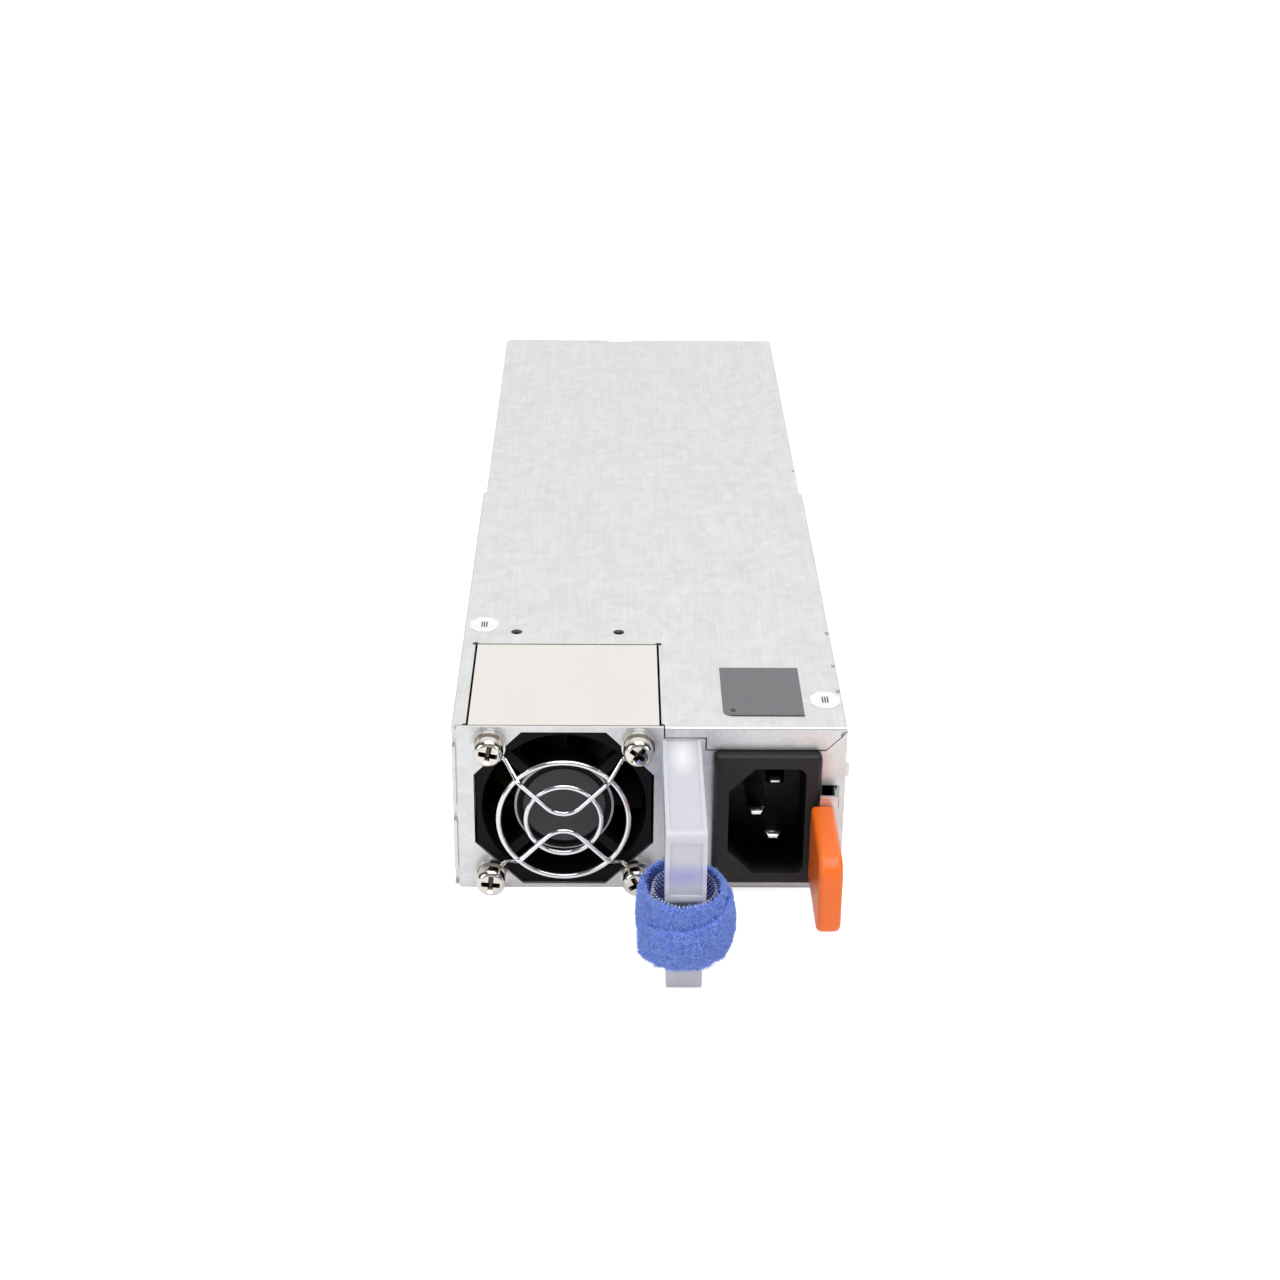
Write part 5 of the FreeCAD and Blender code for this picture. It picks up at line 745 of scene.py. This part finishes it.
def wind(name, start_radius, growth, turns, taper_from, crown):
    """A tape on edge, wound clockwise from the start, its radius growing by so much a turn."""
    bpy.ops.object.select_all(action="DESELECT")
    step_turn = 2 * math.pi / TURN_STEPS
    start = math.radians(START_TURN)
    outward = Vector((math.cos(start), math.sin(start), 0))
    at = Vector((strap_middle.x + start_radius * math.cos(start),
                 strap_middle.y + start_radius * math.sin(start), strap_middle.z))
    bpy.ops.mesh.primitive_grid_add(x_subdivisions=1, y_subdivisions=8, size=1, location=at,
                                    rotation=(math.pi / 2, 0, start + math.pi / 2))
    tape = bpy.context.object
    tape.name = name
    tape.scale = (start_radius * step_turn, STRAP_HEIGHT, 1)
    bpy.ops.object.transform_apply(location=True, rotation=True, scale=True)
    for point in tape.data.vertices:
        height = (point.co.z - strap_middle.z) / (STRAP_HEIGHT / 2)
        point.co += outward * crown * (1 - height * height)
    ahead = Vector((math.sin(start), -math.cos(start), 0))
    pick(tape)
    select_where(tape, "EDGE", lambda middle, ends: all((end - at).dot(ahead) > 0.3 * start_radius * step_turn
                                                        for end in ends))
    bpy.ops.object.mode_set(mode="EDIT")
    bpy.context.tool_settings.mesh_select_mode = (False, True, False)
    steps = int(turns * TURN_STEPS)
    radius = start_radius
    height = 1.0
    centre = (strap_middle.x, strap_middle.y, strap_low.z)
    for step in range(steps):
        grown = radius + growth / TURN_STEPS
        left_to_go = (steps - step) / TURN_STEPS
        shrunk = height - (NARROWING / (taper_from * TURN_STEPS) if left_to_go < taper_from else 0)
        bpy.ops.mesh.extrude_edges_move(TRANSFORM_OT_translate={"value": (0, 0, 0)})
        bpy.ops.transform.rotate(value=step_turn, orient_axis="Z", center_override=centre)
        bpy.ops.transform.resize(value=(grown / radius, grown / radius, shrunk / height),
                                 center_override=centre)
        radius, height = grown, shrunk
    bpy.ops.mesh.select_all(action="SELECT")
    bpy.ops.transform.resize(value=(1, DEEPER, 1), center_override=centre)
    bpy.ops.object.mode_set(mode="OBJECT")
    return tape


tape_growth = TAPE * LAYER_STEP
first_line = OUTER_LINE - CROWN - tape_growth * WOUND_TURNS
strap = wind("strap_tape", first_line, tape_growth, WOUND_TURNS, TONGUE_TURNS, CROWN)
middle_line = (first_line + CROWN / 2 + tape_growth * WOUND_TURNS / 2) * (1 + DEEPER) / 2
print("tape as rolled:", round(2 * math.pi * WOUND_TURNS * middle_line / MM), "mm")
modifier(strap, "SOLIDIFY", thickness=TAPE * CORE_SHARE, offset=0)
modifier(strap, "SUBSURF", levels=2, render_levels=2)
LUMPS = ((3.4 * MM, 0.55 * MM), (0.8 * MM, 0.22 * MM))
for size, depth in LUMPS:
    clouds = bpy.data.textures.new("nap_lumps", "CLOUDS")
    clouds.noise_scale = size
    modifier(strap, "DISPLACE", texture=clouds, strength=depth, mid_level=0.5, texture_coords="LOCAL")
complete(strap, "strap_tape", "strap_nap_painted_shade", "housing", "blue_strap", "cord_strap", smooth=80)

# %% [markdown]
# The tape's inside carries the hooks, woven in upright rows. It is a thin liner, one turn long, with the
# rows standing on it as small bent hooks. The brushed outside is thousands of fibres that lie every way.
# Hooks and fibres are the same thing at two sizes, a short bent spike with three sides, so one helper
# makes both. Fibres grow only where the tape is open to the air, which rays outwards tell, and they stay
# short beside the step between two layers, so that the step keeps its dark line of painted shade.
# %% Hooks and nap
chance = random.Random(11)


def spikes(name, plans, material, smooth=60):
    """Closed three-sided spikes from (root, knee, tip, radius) plans, as one mesh."""
    points, faces = [], []
    for root, knee, tip, radius in plans:
        first = len(points)
        way = (knee - root).normalized()
        side = way.orthogonal().normalized()
        other = way.cross(side)
        for centre, share in ((root, 1.0), (knee, 0.75)):
            for corner in range(3):
                turn = 2 * math.pi * corner / 3
                points.append(centre + (side * math.cos(turn) + other * math.sin(turn)) * radius * share)
        points.append(tip)
        faces.append((first + 2, first + 1, first))
        for corner in range(3):
            after = (corner + 1) % 3
            faces.append((first + corner, first + after, first + 3 + after, first + 3 + corner))
            faces.append((first + 3 + corner, first + 3 + after, first + 6))
    mesh = bpy.data.meshes.new(name)
    mesh.from_pydata([tuple(point) for point in points], [], faces)
    made = bpy.data.objects.new(name, mesh)
    scene.collection.objects.link(made)
    pick(made)
    made.data.materials.append(FINISHES[material])
    bpy.ops.object.shade_smooth_by_angle(angle=math.radians(smooth))
    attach(made, "housing")
    print(name, len(plans), "spikes")
    return made


LINING_CROWN = CROWN * 0.8
lining_line = first_line - TAPE * CORE_SHARE / 2 - LINING / 2
lining = wind("hook_lining", lining_line, 0, 1.0, 1.0, LINING_CROWN)
HOOK_ROWS = 11
HOOK_COLUMNS = 50
HOOK_RADIUS = 0.15 * MM
ROWS_SHARE = 0.47
hook_plans = []
for column in range(HOOK_COLUMNS):
    angle = 2 * math.pi * column / HOOK_COLUMNS
    for row in range(HOOK_ROWS):
        height = (row + 0.5) / HOOK_ROWS * 2 - 1
        reach = lining_line + LINING_CROWN * (1 - height * height) - LINING / 2
        outward = Vector((math.cos(angle), math.sin(angle) * DEEPER, 0))
        root = strap_middle + Vector((0, 0, height * STRAP_HEIGHT * ROWS_SHARE)) + outward * reach
        knee = root - outward * 0.42 * MM + Vector((0, 0, 0.16 * MM))
        tip = root - outward * 0.55 * MM - Vector((0, 0, 0.26 * MM))
        hook_plans.append((root, knee, tip, HOOK_RADIUS))
modifier(lining, "SOLIDIFY", thickness=LINING, offset=0)
modifier(lining, "SUBSURF", levels=1, render_levels=1)
complete(lining, "hook_lining", "strap_weave", "housing", "blue_strap", smooth=80)
spikes("lining_hooks", hook_plans, "strap_hooks")

FIBRES = 16000
FIBRE_LENGTH = (0.8 * MM, 2.0 * MM)
FIBRE_RISE = (0.10, 0.60)
FIBRE_RADIUS = (0.04 * MM, 0.095 * MM)
FIBRE_ROOT = 0.08 * MM
OPEN_AIR, CLEAR_AROUND = 2.5 * MM, 3.0 * MM
INWARD_LIMIT = 0.75
surface = BVHTree.FromObject(strap, bpy.context.evaluated_depsgraph_get())
open_faces = []
for face in strap.data.polygons:
    start = face.center + face.normal * 0.05 * MM
    if surface.ray_cast(start, face.normal, OPEN_AIR)[0] is None:
        inwards = Vector((strap_middle.x - face.center.x, strap_middle.y - face.center.y, 0)).normalized()
        if face.normal.dot(inwards) < INWARD_LIMIT:
            open_faces.append(face)
areas = [face.area for face in open_faces]
fibre_plans = []
for face in chance.choices(open_faces, weights=areas, k=FIBRES):
    corners = [strap.data.vertices[index].co for index in face.vertices]
    shares = [chance.random() + 0.05 for corner in corners]
    root = sum((corner * share for corner, share in zip(corners, shares)), Vector()) / sum(shares)
    lying = face.normal.orthogonal().normalized()
    lying.rotate(Quaternion(face.normal, chance.uniform(0, 2 * math.pi)))
    length = chance.uniform(*FIBRE_LENGTH)
    slanting = (face.normal + lying).normalized()
    around = [Quaternion(face.normal, math.pi / 3 * turn) @ slanting for turn in range(6)]
    from_here = root + face.normal * 0.1 * MM
    met = sum(surface.ray_cast(from_here, way, CLEAR_AROUND)[0] is not None for way in around)
    if met > 1:
        continue
    length *= 1 - 0.4 * met
    rise = chance.uniform(*FIBRE_RISE)
    knee = root + (lying * (1 - rise) + face.normal * rise) * length * 0.55
    tip = knee + (lying + face.normal * chance.uniform(-0.35, 0.25)) * length * 0.5
    fibre_plans.append((root - face.normal * FIBRE_ROOT, knee, tip, chance.uniform(*FIBRE_RADIUS)))
spikes("strap_fibres", fibre_plans, "strap_fibre")

# %% [markdown]
# The handle is one clear moulding: an upper leg, an upright grip that steps back to a slimmer neck, and a
# foot with a lower leg. Five plain blocks, welded by a boolean union, give that outline with clean flat
# faces. Then every edge gets a round, and the upper leg and the front of the grip get the shallow trough
# between two raised borders that makes such a handle stiff. Three soft spots of painted light are laid on
# it: a violet tint where the strap shows through the grip, and pale painted highlights on the grip's lower
# lip and near the upper leg's root.
# %% Pull handle
def block(low, high, name="block"):
    """A box between two corners."""
    bpy.ops.object.select_all(action="DESELECT")
    bpy.ops.mesh.primitive_cube_add(size=1, location=(Vector(low) + Vector(high)) / 2,
                                    scale=Vector(high) - Vector(low))
    bpy.ops.object.transform_apply(location=True, rotation=True, scale=True)
    bpy.context.object.name = name
    return bpy.context.object


HANDLE_LEG = 6.4 * MM
GRIP_DEPTH = 7.0 * MM
GRIP_STEP = strap_high.z - 1.4 * MM
NECK_BACK = 1.4 * MM
NECK_SIDE = 0.5 * MM
FOOT_TOP = strap_low.z - 0.2 * MM
HANDLE_ROUND = 0.5 * MM
BORDER = 1.15 * MM
TROUGH = 0.35 * MM
TROUGH_SLOPE = 0.16 * MM
GRIP_CORNER = 1.6 * MM
BROAD = 6 * MM
left, right = handle_low.x, handle_high.x
front, root = handle_low.y, front_face + 1.0 * MM
grip_back = front + GRIP_DEPTH
top, bottom = handle_high.z, handle_low.z
clear = FINISHES["frosted_clear"]
grip_middle = (left + right) / 2
# Painted light: a violet see-through tint, and pale painted highlights on the lower lip and near the root.
PAINTED_LIGHT_SPOTS = {
    "strap seen through": ((grip_middle, front, strap_high.z + 5.4 * MM), (4.4 * MM, 4.0 * MM, 1.9 * MM), 0.8,
                           (0.43, 0.42, 0.74)),
    "lower lip": ((grip_middle, front, GRIP_STEP + 0.9 * MM), (5.0 * MM, 3.0 * MM, 1.3 * MM), 0.4,
                  (0.94, 0.94, 0.96)),
    "near the root": ((grip_middle, front_face - 6.5 * MM, top), (1.7 * MM, 5.5 * MM, 3.0 * MM), 0.8,
                      (0.93, 0.93, 0.95)),
}
for spot, half_size, softness, colour in PAINTED_LIGHT_SPOTS.values():
    paint(clear, spot_mask(clear.node_tree, spot, half_size, softness), colour)
print("spots on the handle:", ", ".join(PAINTED_LIGHT_SPOTS))
handle = block((left, front, GRIP_STEP), (right, grip_back, top))
neck_left, neck_right = left + NECK_SIDE, right - NECK_SIDE
grip_inside = front + GRIP_DEPTH / 2
BLOCKS = (
    ((left, grip_inside, top - HANDLE_LEG), (right, root, top)),
    ((neck_left, front + NECK_BACK, bottom + MM), (neck_right, grip_back, top - MM)),
    ((neck_left, front, bottom), (neck_right, grip_back, FOOT_TOP)),
    ((neck_left, grip_inside, bottom), (neck_right, root, FOOT_TOP)),
)
for low, high in BLOCKS:
    added = block(low, high)
    modifier(handle, "BOOLEAN", object=added, operation="UNION", solver="EXACT")
    bpy.data.objects.remove(added)
edit(handle, "FACE", lambda middle, ends: True,
     lambda: bpy.ops.mesh.select_all(action="SELECT"),
     lambda: bpy.ops.mesh.remove_doubles(threshold=0.002 * MM),
     lambda: bpy.ops.mesh.dissolve_limited(angle_limit=math.radians(1.0)))
edit(handle, "EDGE", lambda middle, ends: abs(ends[0].x - ends[1].x) > BROAD and middle.y < front + 0.1 * MM
     and middle.z > GRIP_STEP - 0.1 * MM,
     lambda: bpy.ops.mesh.bevel(offset=GRIP_CORNER, segments=6, profile=0.5, affect="EDGES"))
modifier(handle, "BEVEL", width=HANDLE_ROUND, segments=4, limit_method="ANGLE", angle_limit=math.radians(50))


def sink_trough(test):
    """Inset the faces that pass the test and push them in."""
    edit(handle, "FACE", test,
         lambda: bpy.ops.mesh.inset(thickness=BORDER - HANDLE_ROUND, depth=0, use_even_offset=True),
         lambda: bpy.ops.mesh.inset(thickness=TROUGH_SLOPE, depth=-TROUGH, use_even_offset=True))


def is_broad(ends):
    """Whether a face is wide across the handle, which its rounds aren't."""
    return max(end.x for end in ends) - min(end.x for end in ends) > BROAD


sink_trough(lambda middle, ends: is_broad(ends) and all(abs(end.z - top) < 0.02 * MM for end in ends))
sink_trough(lambda middle, ends: is_broad(ends) and middle.z > GRIP_STEP
            and all(abs(end.y - front) < 0.02 * MM for end in ends))
complete(handle, "clear_handle", "frosted_clear", "housing", "clear_plastic", "pull_handle", smooth=40)

# %% [markdown]
# The release tab is a thick orange plate with a round nose. A block is made at its size, its two front
# corners are rounded with a wide bevel, the upper one more, and every edge then gets a smaller round,
# wide enough to catch a line of light.
# %% Release tab
tab_low, tab_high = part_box("latch_tab")
TAB_SIDE = 0.45 * MM
TAB_FOOT = 1.7 * MM
TAB_HEAD = 0.9 * MM
TAB_CORNERS = ((True, 4.4 * MM), (False, 3.6 * MM))
TAB_ROUND = 1.15 * MM
tab_size = tab_high - tab_low + Vector((TAB_SIDE, 0, TAB_HEAD - TAB_FOOT))
tab_centre = (tab_high + tab_low) / 2 + Vector((TAB_SIDE, 0, TAB_HEAD + TAB_FOOT)) / 2
bpy.ops.object.select_all(action="DESELECT")
bpy.ops.mesh.primitive_cube_add(size=1, location=tab_centre, scale=tab_size)
tab = bpy.context.object
bpy.ops.object.transform_apply(location=True, rotation=True, scale=True)
for upper, offset in TAB_CORNERS:
    edit(tab, "EDGE",
         lambda middle, ends: abs(ends[0].x - ends[1].x) > 2 * MM and middle.y < tab_centre.y
         and (middle.z > tab_centre.z) == upper,
         lambda: bpy.ops.mesh.bevel(offset=offset, segments=12, profile=0.5, affect="EDGES"))
modifier(tab, "BEVEL", width=TAB_ROUND, segments=6, limit_method="ANGLE", angle_limit=math.radians(60))
complete(tab, "orange_tab", "orange_moulding", "release_latch", "orange_plastic", "latch_tab", smooth=50)

# %% [markdown]
# The inlet's three pins are flat blades with chamfered ends, so that a coupler finds its way onto them.
# Only the small flat left at each end catches the light; the rest mirrors the dark cavity.
# %% Inlet pins
PIN_THICKNESS = 2 * MM
END_FLAT = (1.0 * MM, 0.24 * MM)
END_TAPER = 1.3 * MM
PIN_SETBACK = 2.2 * MM
pair_low, pair_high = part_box("line_pins")
lower_pin = (pair_low, Vector((pair_high.x, pair_high.y, pair_low.z + PIN_THICKNESS)))
upper_pin = (Vector((pair_low.x, pair_low.y, pair_high.z - PIN_THICKNESS)), pair_high)
pins = []
for low, high in (lower_pin, upper_pin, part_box("earth_pin")):
    low = low + Vector((0, PIN_SETBACK, 0))
    centre = (low + high) / 2
    bpy.ops.object.select_all(action="DESELECT")
    bpy.ops.mesh.primitive_cube_add(size=1, location=centre, scale=high - low)
    pin = bpy.context.object
    end_share = (2 * END_FLAT[0] / (high.x - low.x), 1, 2 * END_FLAT[1] / (high.z - low.z))
    edit(pin, "FACE", lambda middle, ends: all(end.y < low.y + 0.01 * MM for end in ends),
         lambda: bpy.ops.mesh.extrude_region_move(TRANSFORM_OT_translate={"value": (0, 0, 0)}),
         lambda: bpy.ops.transform.resize(value=end_share, center_override=(centre.x, low.y, centre.z)))
    edit(pin, "EDGE", lambda middle, ends: all(end.y < low.y + 0.01 * MM for end in ends)
         and (abs(middle.x - centre.x) > END_FLAT[0] * 1.1 or abs(middle.z - centre.z) > END_FLAT[1] * 1.6)
         and not any(abs(end.x - centre.x) < END_FLAT[0] * 1.02 and abs(end.z - centre.z) < END_FLAT[1] * 1.1
                     for end in ends),
         lambda: bpy.ops.transform.translate(value=(0, END_TAPER, 0)))
    modifier(pin, "BEVEL", width=0.12 * MM, segments=2, limit_method="ANGLE", angle_limit=math.radians(25))
    pins.append(pin)
complete(together(pins), "flat_pins", "pin_nickel", "housing", "pin_metal", "line_pins", "earth_pin",
         smooth=30)

# %% [markdown]
# The two inspector's marks are eight-sided paper stickers, a little longer than wide. Each is a short
# prism whose top is inset and pressed down by a hair, so that its rim shows as a fine grey line.
# %% Paper marks
MARK_HALF = 3.25 * MM
MARK_LENGTH = 1.22
MARK_THICKNESS = 0.12 * MM
MARK_RIM, MARK_PRESSED = 0.22 * MM, 0.05 * MM
mark_radius = MARK_HALF / math.cos(math.pi / 8)
marks = []
for x, y in DOTS:
    bpy.ops.object.select_all(action="DESELECT")
    bpy.ops.mesh.primitive_cylinder_add(vertices=8, radius=mark_radius, depth=MARK_THICKNESS,
                                        location=(x, y, dots_low.z + MARK_THICKNESS / 2),
                                        rotation=(0, 0, math.pi / 8))
    sticker = bpy.context.object
    bpy.ops.object.transform_apply(location=True, rotation=True, scale=True)
    edit(sticker, "FACE", lambda middle, ends: True,
         lambda: bpy.ops.mesh.select_all(action="SELECT"),
         lambda: bpy.ops.transform.resize(value=(1, MARK_LENGTH, 1), center_override=(x, y, 0)))
    edit(sticker, "FACE", lambda middle, ends: all(end.z > dots_low.z + 0.6 * MARK_THICKNESS for end in ends),
         lambda: bpy.ops.mesh.inset(thickness=MARK_RIM, depth=-MARK_PRESSED, use_even_offset=True))
    marks.append(sticker)
complete(together(marks), "paper_marks", "white_paper", "housing", "label_white", "inspection_dots",
         smooth=20)

# %% [markdown]
# The motor's ring is the one part of the fan that catches light: the rim that stands up round the hub, as
# a thin bright circle, painted as a grey highlight. It is a torus, squeezed flat, that sits on the moulded
# ring.
# %% Motor rim
RIM_RADIUS = 10.3 * MM
RIM_WIDTH = 0.55 * MM
RIM_FLATNESS = 0.5
rim_middle = (fan_middle.x, frame_low.y + 0.9 * MM, fan_middle.z)
bpy.ops.object.select_all(action="DESELECT")
bpy.ops.mesh.primitive_torus_add(location=rim_middle, rotation=(math.pi / 2, 0, 0), major_radius=RIM_RADIUS,
                                 minor_radius=RIM_WIDTH, major_segments=96, minor_segments=12)
rim = bpy.context.object
bpy.ops.object.transform_apply(location=True, rotation=True, scale=True)
edit(rim, "FACE", lambda middle, ends: True,
     lambda: bpy.ops.mesh.select_all(action="SELECT"),
     lambda: bpy.ops.transform.resize(value=(1, RIM_FLATNESS, 1), center_override=rim_middle))
complete(rim, "motor_rim", "rim_painted_highlight", "housing", "fan_black", smooth=60)
